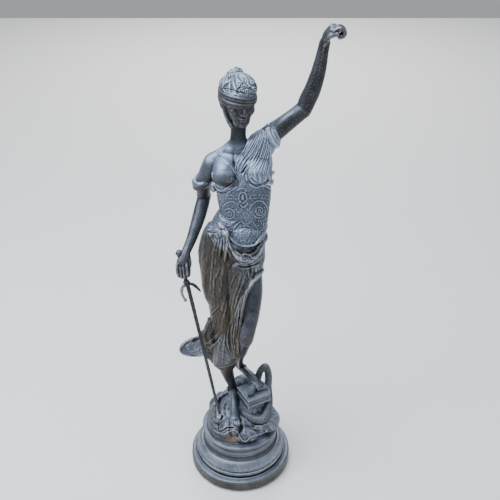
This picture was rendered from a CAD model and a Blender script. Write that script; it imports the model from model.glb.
"""Bronze lady justice statue: the cast figure with rock, book and snake, the sword and the plinth."""

import math

import bpy
import numpy as np
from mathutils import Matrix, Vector

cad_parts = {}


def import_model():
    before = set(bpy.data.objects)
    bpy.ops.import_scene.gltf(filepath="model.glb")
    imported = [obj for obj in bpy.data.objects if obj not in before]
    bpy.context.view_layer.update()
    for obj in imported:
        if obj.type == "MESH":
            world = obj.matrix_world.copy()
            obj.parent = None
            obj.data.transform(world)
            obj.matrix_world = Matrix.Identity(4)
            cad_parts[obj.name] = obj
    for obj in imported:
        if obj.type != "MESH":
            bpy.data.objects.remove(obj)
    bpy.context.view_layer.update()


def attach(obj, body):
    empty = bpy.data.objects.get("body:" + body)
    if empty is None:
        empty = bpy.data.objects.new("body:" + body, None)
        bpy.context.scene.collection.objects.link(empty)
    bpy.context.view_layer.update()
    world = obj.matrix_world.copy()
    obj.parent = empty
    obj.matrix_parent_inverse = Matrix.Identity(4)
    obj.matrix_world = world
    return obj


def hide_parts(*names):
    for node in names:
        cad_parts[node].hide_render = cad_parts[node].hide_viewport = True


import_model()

# Forms are written in millimetres, the figure facing -Y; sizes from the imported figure
MM = 0.001
PLINTH_TOP = 127.3

# The viewing point, and the frame of 500 by 500 that carvings are placed in
EYE = np.array((27.0, -1420.0, 1496.0))
TILT = math.radians(30.0)
SPAN = 689.0
AHEAD = np.array((0.0, math.cos(TILT), -math.sin(TILT)))
UPWARD = np.array((0.0, math.sin(TILT), math.cos(TILT)))

FRONT = np.array((0.0, -1.0, 0.0))
BACK = np.array((0.0, 1.0, 0.0))


# Curves and closed skins


def along(rows, count):
    """Rows carried through their keys by a cubic whose slopes are the chords of the neighbours."""
    rows = np.asarray(rows, float)
    step = np.linalg.norm(np.diff(rows[:, :3], axis=0), axis=1)
    at = np.concatenate(([0.0], np.cumsum(step)))
    slope = np.empty_like(rows)
    slope[1:-1] = (rows[2:] - rows[:-2]) / (at[2:] - at[:-2])[:, None]
    slope[0] = (rows[1] - rows[0]) / step[0]
    slope[-1] = (rows[-1] - rows[-2]) / step[-1]
    s = np.linspace(0.0, at[-1], count)
    i = np.clip(np.searchsorted(at, s, side="right") - 1, 0, len(at) - 2)
    h = (at[i + 1] - at[i])[:, None]
    u = (s - at[i])[:, None] / h
    a = (2 * u**3 - 3 * u**2 + 1) * rows[i]
    b = (u**3 - 2 * u**2 + u) * h * slope[i]
    c = (3 * u**2 - 2 * u**3) * rows[i + 1]
    d = (u**3 - u**2) * h * slope[i + 1]
    return a + b + c + d


def unit(v):
    return v / np.maximum(np.linalg.norm(v, axis=-1, keepdims=True), 1e-12)


def spin(turn):
    """The rotation by angles in degrees about X, then Y, then Z."""
    ax, ay, az = np.radians(turn)
    rx = np.array(((1, 0, 0), (0, math.cos(ax), -math.sin(ax)), (0, math.sin(ax), math.cos(ax))))
    ry = np.array(((math.cos(ay), 0, math.sin(ay)), (0, 1, 0), (-math.sin(ay), 0, math.cos(ay))))
    rz = np.array(((math.cos(az), -math.sin(az), 0), (math.sin(az), math.cos(az), 0), (0, 0, 1)))
    return rz @ ry @ rx


def skin(points):
    """Rings of points as a closed skin of triangles: two to each cell, and a fan over each end ring."""
    rings, sides = points.shape[:2]
    index = np.arange(rings * sides).reshape(rings, sides)
    nxt = np.roll(index, -1, axis=1)
    a, b, c, d = index[:-1], nxt[:-1], nxt[1:], index[1:]
    tris = np.concatenate((np.stack((a, b, c), -1).reshape(-1, 3), np.stack((a, c, d), -1).reshape(-1, 3)))
    foot = np.full(sides, rings * sides)
    fans = np.concatenate((np.stack((nxt[0], index[0], foot), -1), np.stack((index[-1], nxt[-1], foot + 1), -1)))
    verts = np.concatenate((points.reshape(-1, 3), points[[0, -1]].mean(1)))
    tris = np.concatenate((tris, fans))
    p = verts - verts.mean(0)
    volume = (p[tris[:, 0]] * np.cross(p[tris[:, 1]], p[tris[:, 2]])).sum()
    return verts, tris if volume > 0 else tris[:, ::-1]


def tube(rows, across=(1, 0, 0), sides=40, rings=48, square=2.0, ends=(1.0, 1.0), cap=6):
    """A limb from rows of x, y, z, half width, half depth.

    Each ring is a superellipse, |cos|^(2/n) by |sin|^(2/n), square to the path; the width lies along the
    given direction, and each end closes in a dome as deep as the smaller half size times its factor.
    """
    c = along(rows, rings)
    path = c[:, :3]
    run = unit(np.gradient(path, axis=0))
    a = np.maximum(c[:, 3], 0.3)
    b = np.maximum(c[:, 4], 0.3)
    turn = np.linspace(0.0, math.pi / 2, cap + 1)[1:]
    first = min(a[0], b[0]) * ends[0]
    last = min(a[-1], b[-1]) * ends[1]
    lead = path[0] - run[0] * (first * np.sin(turn[::-1]))[:, None]
    tail = path[-1] + run[-1] * (last * np.sin(turn))[:, None]
    near = np.maximum(np.cos(turn), 1e-3)
    path = np.vstack((lead, path, tail))
    run = np.vstack((np.repeat(run[:1], cap, 0), run, np.repeat(run[-1:], cap, 0)))
    a = np.concatenate((a[0] * near[::-1], a, a[-1] * near))
    b = np.concatenate((b[0] * near[::-1], b, b[-1] * near))
    side = np.broadcast_to(np.asarray(across, float), run.shape)
    side = unit(side - (side * run).sum(1, keepdims=True) * run)
    deep = np.cross(run, side)
    angle = np.linspace(0.0, 2 * math.pi, sides, endpoint=False)
    x = np.sign(np.cos(angle)) * np.abs(np.cos(angle)) ** (2.0 / square)
    y = np.sign(np.sin(angle)) * np.abs(np.sin(angle)) ** (2.0 / square)
    wide = side[:, None] * (a[:, None] * x)[..., None]
    thick = deep[:, None] * (b[:, None] * y)[..., None]
    return skin(path[:, None] + wide + thick)


def blob(x, y, z, a, b, c, turn=(0.0, 0.0, 0.0), sides=40, rings=26):
    """An ellipsoid about x, y, z with half sizes a, b, c, turned by three angles."""
    theta = np.linspace(0.03, math.pi - 0.03, rings)[:, None]
    phi = np.linspace(0.0, 2 * math.pi, sides, endpoint=False)
    p = np.stack((a * np.sin(theta) * np.cos(phi), b * np.sin(theta) * np.sin(phi), c * np.cos(theta) + 0 * phi), -1)
    return skin(p @ spin(turn).T + np.array((x, y, z)))


def moved(piece, turn, centre):
    points, tris = piece
    return points @ spin(turn).T + np.asarray(centre, float), tris


def ring(centre, axis, radius, thick, flat=1.0, sides=16, count=40):
    """A round or flattened band about an axis, as two half turns that overlap."""
    axis = unit(np.asarray(axis, float))
    u = unit(np.cross(axis, (0.0, 1.0, 0.0)))
    v = np.cross(axis, u)
    out = []
    for start in (0.0, math.pi):
        angle = np.linspace(start - 0.2, start + math.pi + 0.2, count)
        path = np.asarray(centre, float) + radius * (np.cos(angle)[:, None] * u + np.sin(angle)[:, None] * v)
        rows = np.column_stack((path, np.full(count, thick * flat), np.full(count, thick)))
        out.append(tube(rows, across=tuple(axis), sides=sides, rings=count))
    return out


# Meshes: melted from skins, then carved


def mesh_of(name, verts, tris):
    mesh = bpy.data.meshes.new(name)
    mesh.from_pydata(np.asarray(verts) * MM, [], np.asarray(tris))
    mesh.update()
    thing = bpy.data.objects.new(name, mesh)
    bpy.context.scene.collection.objects.link(thing)
    return thing


def melted(name, skins, size, passes):
    """Overlapping closed skins melted into one at the given cell size, then eased."""
    verts = []
    tris = []
    start = 0
    for points, faces in skins:
        verts.append(points)
        tris.append(faces + start)
        start += len(points)
    thing = mesh_of(name, np.concatenate(verts), np.concatenate(tris))
    melt = thing.modifiers.new("melt", "REMESH")
    melt.mode = "VOXEL"
    melt.voxel_size = size * MM
    melt.use_smooth_shade = True
    ease = thing.modifiers.new("ease", "SMOOTH")
    ease.factor = 0.5
    ease.iterations = passes
    graph = bpy.context.evaluated_depsgraph_get()
    mesh = bpy.data.meshes.new_from_object(thing.evaluated_get(graph))
    old = thing.data
    thing.modifiers.clear()
    thing.data = mesh
    bpy.data.meshes.remove(old)
    return thing


def points_of(thing):
    points = np.empty(len(thing.data.vertices) * 3, np.float32)
    thing.data.vertices.foreach_get("co", points)
    return points.reshape(-1, 3).astype(float) / MM


def normals_of(thing):
    normals = np.empty(len(thing.data.vertices) * 3, np.float32)
    thing.data.vertex_normals.foreach_get("vector", normals)
    return normals.reshape(-1, 3).astype(float)


def put(thing, points):
    thing.data.vertices.foreach_set("co", (points * MM).astype(np.float32).ravel())
    thing.data.update()


def eased(thing, values, passes, share=0.5):
    """Each point's value moved part of the way to its neighbours' mean, time after time."""
    edges = np.empty(len(thing.data.edges) * 2, np.int32)
    thing.data.edges.foreach_get("vertices", edges)
    a = np.concatenate((edges[0::2], edges[1::2]))
    b = np.concatenate((edges[1::2], edges[0::2]))
    count = len(thing.data.vertices)
    many = np.maximum(np.bincount(a, minlength=count), 1)
    values = values.reshape(count, -1).astype(float).copy()
    for _ in range(passes):
        for k in range(values.shape[1]):
            mean = np.bincount(a, weights=values[b, k], minlength=count) / many
            values[:, k] += share * (mean - values[:, k])
    return values


def keep(thing, name, values):
    slot = thing.data.attributes.new(name, "FLOAT", "POINT")
    slot.data.foreach_set("value", np.asarray(values, np.float32).ravel())


def aged(thing, near=8, wide=70, share=1.0, extra=0.0):
    """How far the skin stands proud of its own eased copies, in millimetres: fine edges and broad hollows.

    Both are multiplied by the share where they are low, and the extra is added to the edges.
    """
    points = points_of(thing)
    normals = normals_of(thing)
    soft = eased(thing, points, near)
    broad = eased(thing, soft, wide)
    edge = eased(thing, ((points - soft) * normals).sum(1), 1)[:, 0]
    hollow = ((soft - broad) * normals).sum(1)
    keep(thing, "edge", np.where(edge < 0, edge * share, edge) + extra)
    keep(thing, "hollow", np.where(hollow < 0, hollow * share, hollow))
    return thing


def framed(points):
    """Where points fall in the frame: 250 plus the span times the share across, and down."""
    v = points - EYE
    depth = v @ AHEAD
    return np.stack((250 + SPAN * v[:, 0] / depth, 250 - SPAN * (v @ UPWARD) / depth), -1)


def stroke_gap(q, path):
    """Each point's distance to a broken line, its share along it, and the side it lies on."""
    best = np.full(len(q), 1e9)
    place = np.zeros(len(q))
    side = np.zeros(len(q))
    for k in range(len(path) - 1):
        d = path[k + 1] - path[k]
        t = np.clip(((q - path[k]) @ d) / max(d @ d, 1e-9), 0.0, 1.0)
        off = q - path[k] - t[:, None] * d
        gap = np.linalg.norm(off, axis=1)
        closer = gap < best
        best = np.where(closer, gap, best)
        place = np.where(closer, (k + t) / (len(path) - 1), place)
        if q.shape[1] == 2:
            side = np.where(closer, np.sign(d[0] * off[:, 1] - d[1] * off[:, 0]), side)
    return best, place, side


def curve(points, count=14):
    """A smooth line through a few points of two or three columns."""
    p = np.asarray(points, float)
    if len(p) < 3:
        count = 2
    flat = np.column_stack((p, np.zeros((len(p), 3 - p.shape[1])))) if p.shape[1] < 3 else p
    return along(flat, count)[:, : p.shape[1]]


def carve(thing, strokes, where="frame", clamp=None):
    """Strokes raise or sink the skin along lines, with a rounded section and tapering ends.

    A stroke is its line, width, height and end taper. The lines lie in the frame and act on what faces
    the viewing point, or lie in x, z and act on the back, or lie in space. Of strokes that meet, the
    larger counts; raised and sunk ones add.
    """
    points = points_of(thing)
    normals = normals_of(thing)
    if where == "frame":
        q = framed(points)
        facing = np.clip(((unit(EYE - points) * normals).sum(1) - 0.05) * 4, 0.0, 1.0)
    elif where == "back":
        q = points[:, (0, 2)]
        facing = np.clip((normals @ BACK - 0.1) * 3, 0.0, 1.0)
    else:
        q = points
        facing = np.ones(len(points))
    if clamp is not None:
        facing = facing * clamp(points)
    high = np.zeros(len(points))
    low = np.zeros(len(points))
    live = np.where(facing > 0)[0]
    order = q[live]
    for path, width, height, taper in strokes:
        lo = path.min(0) - width
        hi = path.max(0) + width
        near = live[((order > lo) & (order < hi)).all(1)]
        if not len(near):
            continue
        gap, place, _ = stroke_gap(q[near], path)
        u = np.clip(1.0 - gap / width, 0.0, 1.0)
        form = u * u * (3 - 2 * u)
        ends = np.clip(np.minimum(place, 1 - place) / max(taper, 1e-6), 0.0, 1.0)
        value = height * form * np.sqrt(ends) * facing[near]
        if height > 0:
            high[near] = np.maximum(high[near], value)
        else:
            low[near] = np.minimum(low[near], value)
    put(thing, points + normals * (high + low)[:, None])
    return thing


def inside(q, outline):
    """Signed distance to a closed outline: above zero within it."""
    outline = np.asarray(outline, float)
    closed = np.vstack((outline, outline[:1]))
    gap, _, _ = stroke_gap(q, closed)
    x, y = q[:, 0], q[:, 1]
    odd = np.zeros(len(q), bool)
    for (x0, y0), (x1, y1) in zip(closed[:-1], closed[1:]):
        if y0 == y1:
            continue
        crosses = ((y0 > y) != (y1 > y)) & (x < (x1 - x0) * (y - y0) / (y1 - y0) + x0)
        odd ^= crosses
    return np.where(odd, gap, -gap)


def stroke(points, width, height, taper=0.15, count=14):
    return (curve(points, count), width, height, taper)


def family(first, last, count, width, height, taper=0.15):
    """Strokes spaced evenly between two guide lines."""
    a = curve(first, 12)
    b = curve(last, 12)
    return [(a + (b - a) * s, width, height, taper) for s in np.linspace(0, 1, count)]


def scroll(x, y, outer, inner, turns, start, width, height):
    """A spiral winding inwards about a point."""
    t = np.linspace(0.0, 1.0, 30)
    angle = math.radians(start) + 2 * math.pi * turns * t
    r = outer + (inner - outer) * t
    return (np.column_stack((x + r * np.cos(angle), y + r * np.sin(angle))), width, height, 0.05)


def grain(points, size, seed, count=10):
    """Soft seeded waves: a sum of cosines in random directions, about plus or minus one."""
    rng = np.random.default_rng(seed)
    way = unit(rng.normal(size=(count, 3))) * rng.uniform(0.7, 1.5, (count, 1)) * (2 * math.pi / size)
    phase = rng.uniform(0, 2 * math.pi, count)
    return np.cos(points @ way.T + phase).sum(1) / math.sqrt(count)


# Head: its own frame has the centre between the temples, the face towards -Y
HEAD_AT = (1.0, -8.0, 1046.0)
HEAD_TURN = (6.0, 0.0, 16.0)
BUN_AT = np.array((-5.2, 27.0, 1090.0))


def snapped(thing, path):
    """A line in millimetres laid onto the nearest skin."""
    return np.array([tuple(thing.closest_point_on_mesh(Vector(p * MM))[1]) for p in path]) / MM


def head():
    """Face of plain calm design, wound blindfold, hair drawn up in locks to a knot."""
    face = [
        blob(0, 6, 14, 36, 44, 36),
        tube(((1, -4, 10, 34, 40), (3, -8, -8, 31.5, 36), (4, -12, -24, 27, 31), (4, -17, -37, 19, 22))),
        blob(4, -33, -43, 10, 8, 7.5),
        blob(-15, -31, -12, 11, 9, 11),
        blob(18, -31, -12, 11, 9, 11),
        tube(((2, -40, 4, 4, 5), (2, -46, -6, 4, 5), (2, -50.5, -14, 4.6, 4)), sides=20, rings=16),
        blob(-2.6, -46, -15.5, 3.4, 3.6, 2.8),
        blob(6.6, -46, -15.5, 3.4, 3.6, 2.8),
        tube(((-7, -40, -26, 1, 1), (-2, -43.8, -25, 1.9, 2), (2, -43.9, -25.5, 1.7, 2), (6, -43.8, -25, 1.9, 2),
              (11, -40, -26, 1, 1)), across=(0, 0, 1), sides=16, rings=24),
        tube(((-5, -40, -29.5, 1, 1), (2, -43.2, -30.3, 2.3, 2.2), (9, -40, -29.5, 1, 1)), across=(0, 0, 1), sides=16),
        # ears
        tube(((-33, 4, 2, 3, 6), (-35, 6, -10, 2.5, 6), (-32, 3, -19, 2, 3)), sides=16, rings=16),
        tube(((34, 4, 2, 3, 6), (36, 6, -10, 2.5, 6), (33, 3, -19, 2, 3)), sides=16, rings=16),
    ]
    wrap = [
        tube(((0, 0, 1, 36, 44.5), (0, 0, 6, 37.5, 46), (0, 1, 12, 37.5, 46), (0, 2, 18, 36, 44)),
             sides=72, rings=40, ends=(0.15, 0.15)),
    ]
    for k, (low, sway, fat) in enumerate(((2.2, 0.8, 2.6), (7.8, -1.1, 2.8), (13.4, 1.2, 2.7), (18.5, -0.8, 2.4))):
        turn = np.linspace(0.0, 2 * math.pi, 60)
        level = low + sway * np.sin(turn + 1.3 * k) + 0.7 * np.sin(3 * turn + k)
        rim = 1.0 - 0.0003 * (level - 10) ** 2
        rows = np.column_stack((38.2 * rim * np.sin(turn), 1 - 46.8 * rim * np.cos(turn), level, np.full(60, fat), np.full(60, 3.0)))
        wrap.append(tube(rows, across=(0, 0, 1), sides=16, rings=120))
    # the wrap climbs towards the viewer's left
    for points, _ in wrap:
        points[:, 2] -= points[:, 0] / 38 * (1 + 0.26 * points[:, 2])
    hair = [
        blob(1.5, 6, 23, 38.6, 44, 29),
        blob(-28, 12, 2, 11, 24, 20),
        blob(30, 12, 2, 11.5, 24, 20),
        blob(0, 34, 0, 29, 17, 27),
        blob(0, 28, -20, 20, 13, 12),
    ]
    parts = [moved(p, HEAD_TURN, HEAD_AT) for p in face + wrap + hair]
    parts.append(blob(*BUN_AT, 17, 13.5, 13, (0, -18, 0)))
    # hair falling over the nape
    parts.append(tube(((-26, 4, 1032, 8, 12), (-22.5, 3, 1014, 8, 12), (-17.5, 3, 998, 7.5, 11), (-12, 4, 984, 6, 10))))
    parts.append(tube(((-27, -20, 1041, 4, 4), (-26.5, -22, 1030, 4.4, 4.5), (-24, -19, 1016, 4.2, 4.4), (-19, -13, 1002, 3, 3.4)), sides=16))
    parts.append(tube(((-24, -10, 1040, 7, 9), (-21, -9, 1024, 8, 9), (-17, -6, 1006, 8, 8))))
    thing = melted("head", parts, 1.06, 2)

    turned = spin(HEAD_TURN).T
    locks = []
    rng = np.random.default_rng(5)
    # locks from the hairline over the crown to the knot, each with a groove beside it
    for k in range(20):
        turn = math.radians(-165 + 330 * k / 19.0)
        x, y = math.sin(turn), -math.cos(turn)
        low = 20 - 7 * x if abs(turn) < 1.6 else 8 - 10 * (abs(turn) - 1.6)
        swirl = 8.0 * math.sin(2.3 * k) + rng.uniform(-3, 3)
        keys = np.array((
            (38 * x, 5 + 44 * y, low),
            (36 * x + swirl * y, 6 + 40 * y - swirl * x, 0.5 * low + 20),
            (25 * x - swirl * y, 14 + 27 * y + swirl * x, 46),
            (9 * x - 6, 25 + 9 * y, 48),
        ))
        path = snapped(thing, curve(keys @ turned + HEAD_AT, 14))
        locks.append((path, rng.uniform(4.6, 6.4), rng.uniform(1.8, 2.8), 0.2))
        shift = np.array((math.cos(turn), math.sin(turn), 0.0)) @ turned * 5.0
        locks.append((snapped(thing, path + shift), 2.6, -rng.uniform(1.4, 2.2), 0.25))
    # strands over the knot, and the groove at its foot
    for k in range(7):
        t = np.linspace(-1.0, 1.0, 12)
        lane = -12 + 4.0 * k
        line = BUN_AT + np.stack((lane + 6 * t, -9 + 0 * t, 12 * t), -1) @ spin((0, -18, 0)).T
        line = snapped(thing, line)
        locks.append((line, 2.4, 1.8 if k % 2 else -1.6, 0.25))
    for k in range(5):
        z = 1026 - 9.0 * k
        locks.append((snapped(thing, np.array(((-34.0 + k, -8, z + 6), (-30.0 + 2 * k, -10, z), (-24.0 + 2.4 * k, -8, z - 9)))), 2.4, -1.5, 0.3))

    def on_hair(p, beside=1.0):
        local = (p - HEAD_AT) @ spin(HEAD_TURN)
        over = np.clip((local[:, 2] - 20.5 + local[:, 0] * 0.165) / 2, 0, 1)
        behind = np.clip((local[:, 1] - 10) / 4, 0, 1) * np.clip((-1 - local[:, 2]) / 2, 0, 1)
        nape = np.clip((1036 - p[:, 2]) / 3, 0, 1) * np.clip((-13.5 - p[:, 0] + (1036 - p[:, 2]) * 0.16) / 3, 0, 1)
        nape = nape * np.clip((p[:, 1] + 24 + (1036 - p[:, 2]) * 0.25) / 3, 0, 1)
        return np.maximum(np.maximum(over, behind), nape * beside)

    carve(thing, locks, "space", clamp=on_hair)
    curls = []
    for k, (x, y) in enumerate(((240.6, 85), (244.6, 81.4), (248.2, 85.8), (251.8, 82.6), (254.2, 88.2), (247, 91.2), (251.6, 92.2),
                                (242.6, 90.2))):
        curls.append(scroll(x, y, 2.1, 0.6, 1.1, 80 * k, 0.9, 2.2))
        curls.append(scroll(x, y, 2.9, 2.6, 0.6, 80 * k + 150, 0.7, -1.1))
    curls.append(stroke(((220.6, 88.6), (226, 88.8), (231.3, 89.6), (239, 92.4), (245.5, 93.4), (251, 93.6), (256.6, 95.2)), 0.8, -1.7, 0.1, 24))
    curls.append(stroke(((225.2, 79.6), (229.5, 77.6), (233.6, 75.6), (239, 73)), 1.0, -3.4, 0.2))
    for k, y in enumerate((80.5, 77.0, 74.0)):
        curls.append(stroke(((222.0 + 1.6 * k, y + 7), (224.5 + 1.6 * k, y + 3.0), (228 + 1.8 * k, y)), 0.7, 1.8, 0.2))
    carve(thing, curls)
    points = points_of(thing)
    local = (points - HEAD_AT) @ spin(HEAD_TURN)
    bound = np.clip((local[:, 2] + 1.5) / 2, 0, 1)
    keep(thing, "cloth", np.maximum(on_hair(points, 0.3), 0.05 * bound))
    put(thing, points + normals_of(thing) * (0.12 * grain(points, 4, 8))[:, None])
    beside = np.clip((1038 - points[:, 2]) / 4, 0, 1) * np.clip((-7 - points[:, 0]) / 4, 0, 1)
    return aged(thing, 5, 50, 1 - 0.8 * beside)


CLOTH_ON_SHOULDER = (
    (266, 116), (262, 124), (256, 132.5), (250, 133.5), (247.8, 136.5), (246.5, 143.3), (244.2, 150), (241, 156),
    (236, 163.4), (234.2, 168.2), (235.4, 174), (241, 181), (240, 186), (247, 195), (262, 205), (285, 205), (285, 150),
    (272, 120),
)


def torso():
    """Neck, bare chest, cloth falling from the raised shoulder, cups, and the chased bodice to its hem."""
    parts = [
        tube(((3, 4, 1016, 17, 18), (2, 6, 985, 17, 17), (1, 4, 955, 18, 18), (1, 4, 930, 27, 22))),
        tube(((-8, 6, 945, 11, 12), (-32, 6, 923, 12, 13), (-56, 4, 905, 16.5, 18)), across=(0, 0, 1)),
        tube(((12, 6, 940, 12, 13), (34, 5, 934, 17, 18), (58, 3, 952, 23, 22)), across=(0, 0, 1)),
        tube(
            (
                (1, 4, 926, 34, 22), (1, 4, 912, 57, 30), (6, 4, 896, 70, 37), (8, 4, 872, 66, 42),
                (12, 3, 845, 62, 44), (13.5, 1, 815, 60, 42), (13.8, -1, 790, 56.8, 40), (11.8, -2, 770, 56.8, 40),
                (5, -2, 748, 62, 46), (-3, 0, 722, 68, 51), (-8, 2, 708, 67, 48),
            ),
            sides=90, rings=110, square=2.2,
        ),
        blob(-30, -28.5, 886, 26.5, 27, 25), blob(42, -27.5, 889, 27, 27, 25),
        tube(((-31, -3, 917, 13, 8), (-31, -10, 909, 21, 16), (-30, -19.5, 898, 25, 23.5), (-30, -27, 889, 26, 26)), ends=(0.4, 1.0)),
        tube(((41, -3, 920, 14, 9), (42, -10, 912, 22, 17), (42, -19, 901, 26, 24.5), (42, -26, 892, 26.5, 26)), ends=(0.4, 1.0)),
        blob(8, -16, 730, 51, 42, 40),
        blob(-56, 0, 842, 9, 10, 13),
        # upper right arm to the rolled band
        tube(((-57, 3, 899, 20.5, 20.5), (-67, 10, 876, 19.5, 19.5), (-79, 24, 843, 18, 18), (-82, 34, 822, 16, 16))),
        *ring((-83.5, 22, 846), (0.36, 0.25, -0.9), 18.6, 5.4, 1.5),
        *ring((-80.5, 19, 853), (0.30, 0.30, -0.9), 19.2, 4.4, 1.2),
        *ring((-85, 24, 838), (0.42, 0.20, -0.9), 18.6, 4.2, 1.2),
        # raised shoulder and sleeve
        tube(((40, 5, 918, 32, 28), (66, 2, 950, 23, 25), (84, 0, 974, 19.5, 20)), across=(0.7, 0, -0.7)),
        tube(((30, 4, 900, 34, 34), (50, 2, 938, 30, 31), (70, 1, 966, 20, 26)), across=(0.8, 0, -0.6), ends=(1, 0.2)),
        tube(((66, -14, 982, 7, 4), (74, -24, 966, 7, 4), (83, -22, 950, 6, 4), (86, -8, 942, 5, 3), (83, 6, 937, 4, 3)), sides=20),
        tube(((66, 2, 984, 5, 9), (77, 5, 972, 5, 9), (86, 6, 954, 5, 8), (86, 3, 938, 4, 6)), across=(0, 1, 0), sides=20),
        # side folds under the raised arm
        tube(((60, -6, 930, 8, 14), (67.5, -8, 896, 7, 14), (67.5, -10, 862, 8, 13)), across=(1, 0, 0)),
        tube(((68, -18, 884, 3, 4), (77.5, -10, 879, 3, 3), (79.5, 4, 876, 3, 3)), sides=16),
        tube(((64, -26, 862, 3.4, 4), (74.5, -16, 857, 3.4, 4), (77.5, 2, 855, 3, 3)), sides=16),
        # hem of the bodice
        tube(((-38, -42, 752, 2, 2), (-16, -54, 736, 2, 2), (2, -58, 724, 1.6, 1.6), (20, -58, 719, 1.3, 1.3),
              (38, -54, 722, 1.3, 1.3), (54, -38, 734, 1.4, 1.4), (66, -4, 742, 1.6, 1.6), (62, 24, 744, 2, 2)), sides=14, rings=60),
    ]
    thing = melted("torso", parts, 1.55, 2)

    # the cloth of the shoulder and the bodice stand proud of the bare chest
    points = points_of(thing)
    q = framed(points)
    faced = np.clip(((unit(EYE - points) * normals_of(thing)).sum(1) + 0.1) * 5, 0, 1)
    cloth = np.clip(inside(q, CLOTH_ON_SHOULDER) / 0.9 + 0.5, 0, 1)
    back = np.clip((points[:, 1] - 6) / 4, 0, 1) * np.clip((points[:, 0] - 8 + (points[:, 2] - 940) * 0.5) / 6, 0, 1)
    back = np.maximum(back, np.clip((points[:, 1] - 6) / 4, 0, 1) * np.clip((906 - points[:, 2]) / 4, 0, 1))
    back = back * np.clip((points[:, 0] + 62) / 3, 0, 1)
    left = np.clip((x_edge(points[:, 0]) - points[:, 2]) / 2.0, 0, 1) * np.clip((points[:, 0] + 60) / 2, 0, 1)
    cover = np.maximum(np.maximum(cloth * faced, back), left)
    put(thing, points + normals_of(thing) * (1.2 * cover)[:, None])
    bodice = np.clip((855 - points[:, 2]) / 8, 0, 1) * np.clip((points[:, 0] + 60) / 2, 0, 1)
    bosom = np.clip(normals_of(thing)[:, 2] * 1.4 + 0.6, 0, 1) * np.clip((958 - points[:, 2]) / 14, 0, 1)
    keep(thing, "cloth", np.clip(np.maximum(cover - 0.42 * bodice, 0.5 * bosom), 0, 1))

    carve(thing, torso_strokes())
    carve(thing, bodice_strokes())
    carve(thing, back_strokes(), "back")
    carve(thing, band_strokes(), "space")
    points = points_of(thing)
    body = np.clip((857 - points[:, 2]) / 6, 0, 1) * np.clip((points[:, 0] + 58) / 4, 0, 1)
    put(thing, points + normals_of(thing) * (grain(points, 7, 21) * body * 0.28 + grain(points, 5, 22) * 0.08)[:, None])
    return aged(thing, 5, 50)


def x_edge(x):
    """Height of the bodice's upper edge at each x: it dips under the bared breast and rises at the middle."""
    return 862 - 6 * np.cos((x + 32) / 22) + np.clip(x - 0, 0, 30) * 0.8


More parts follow.
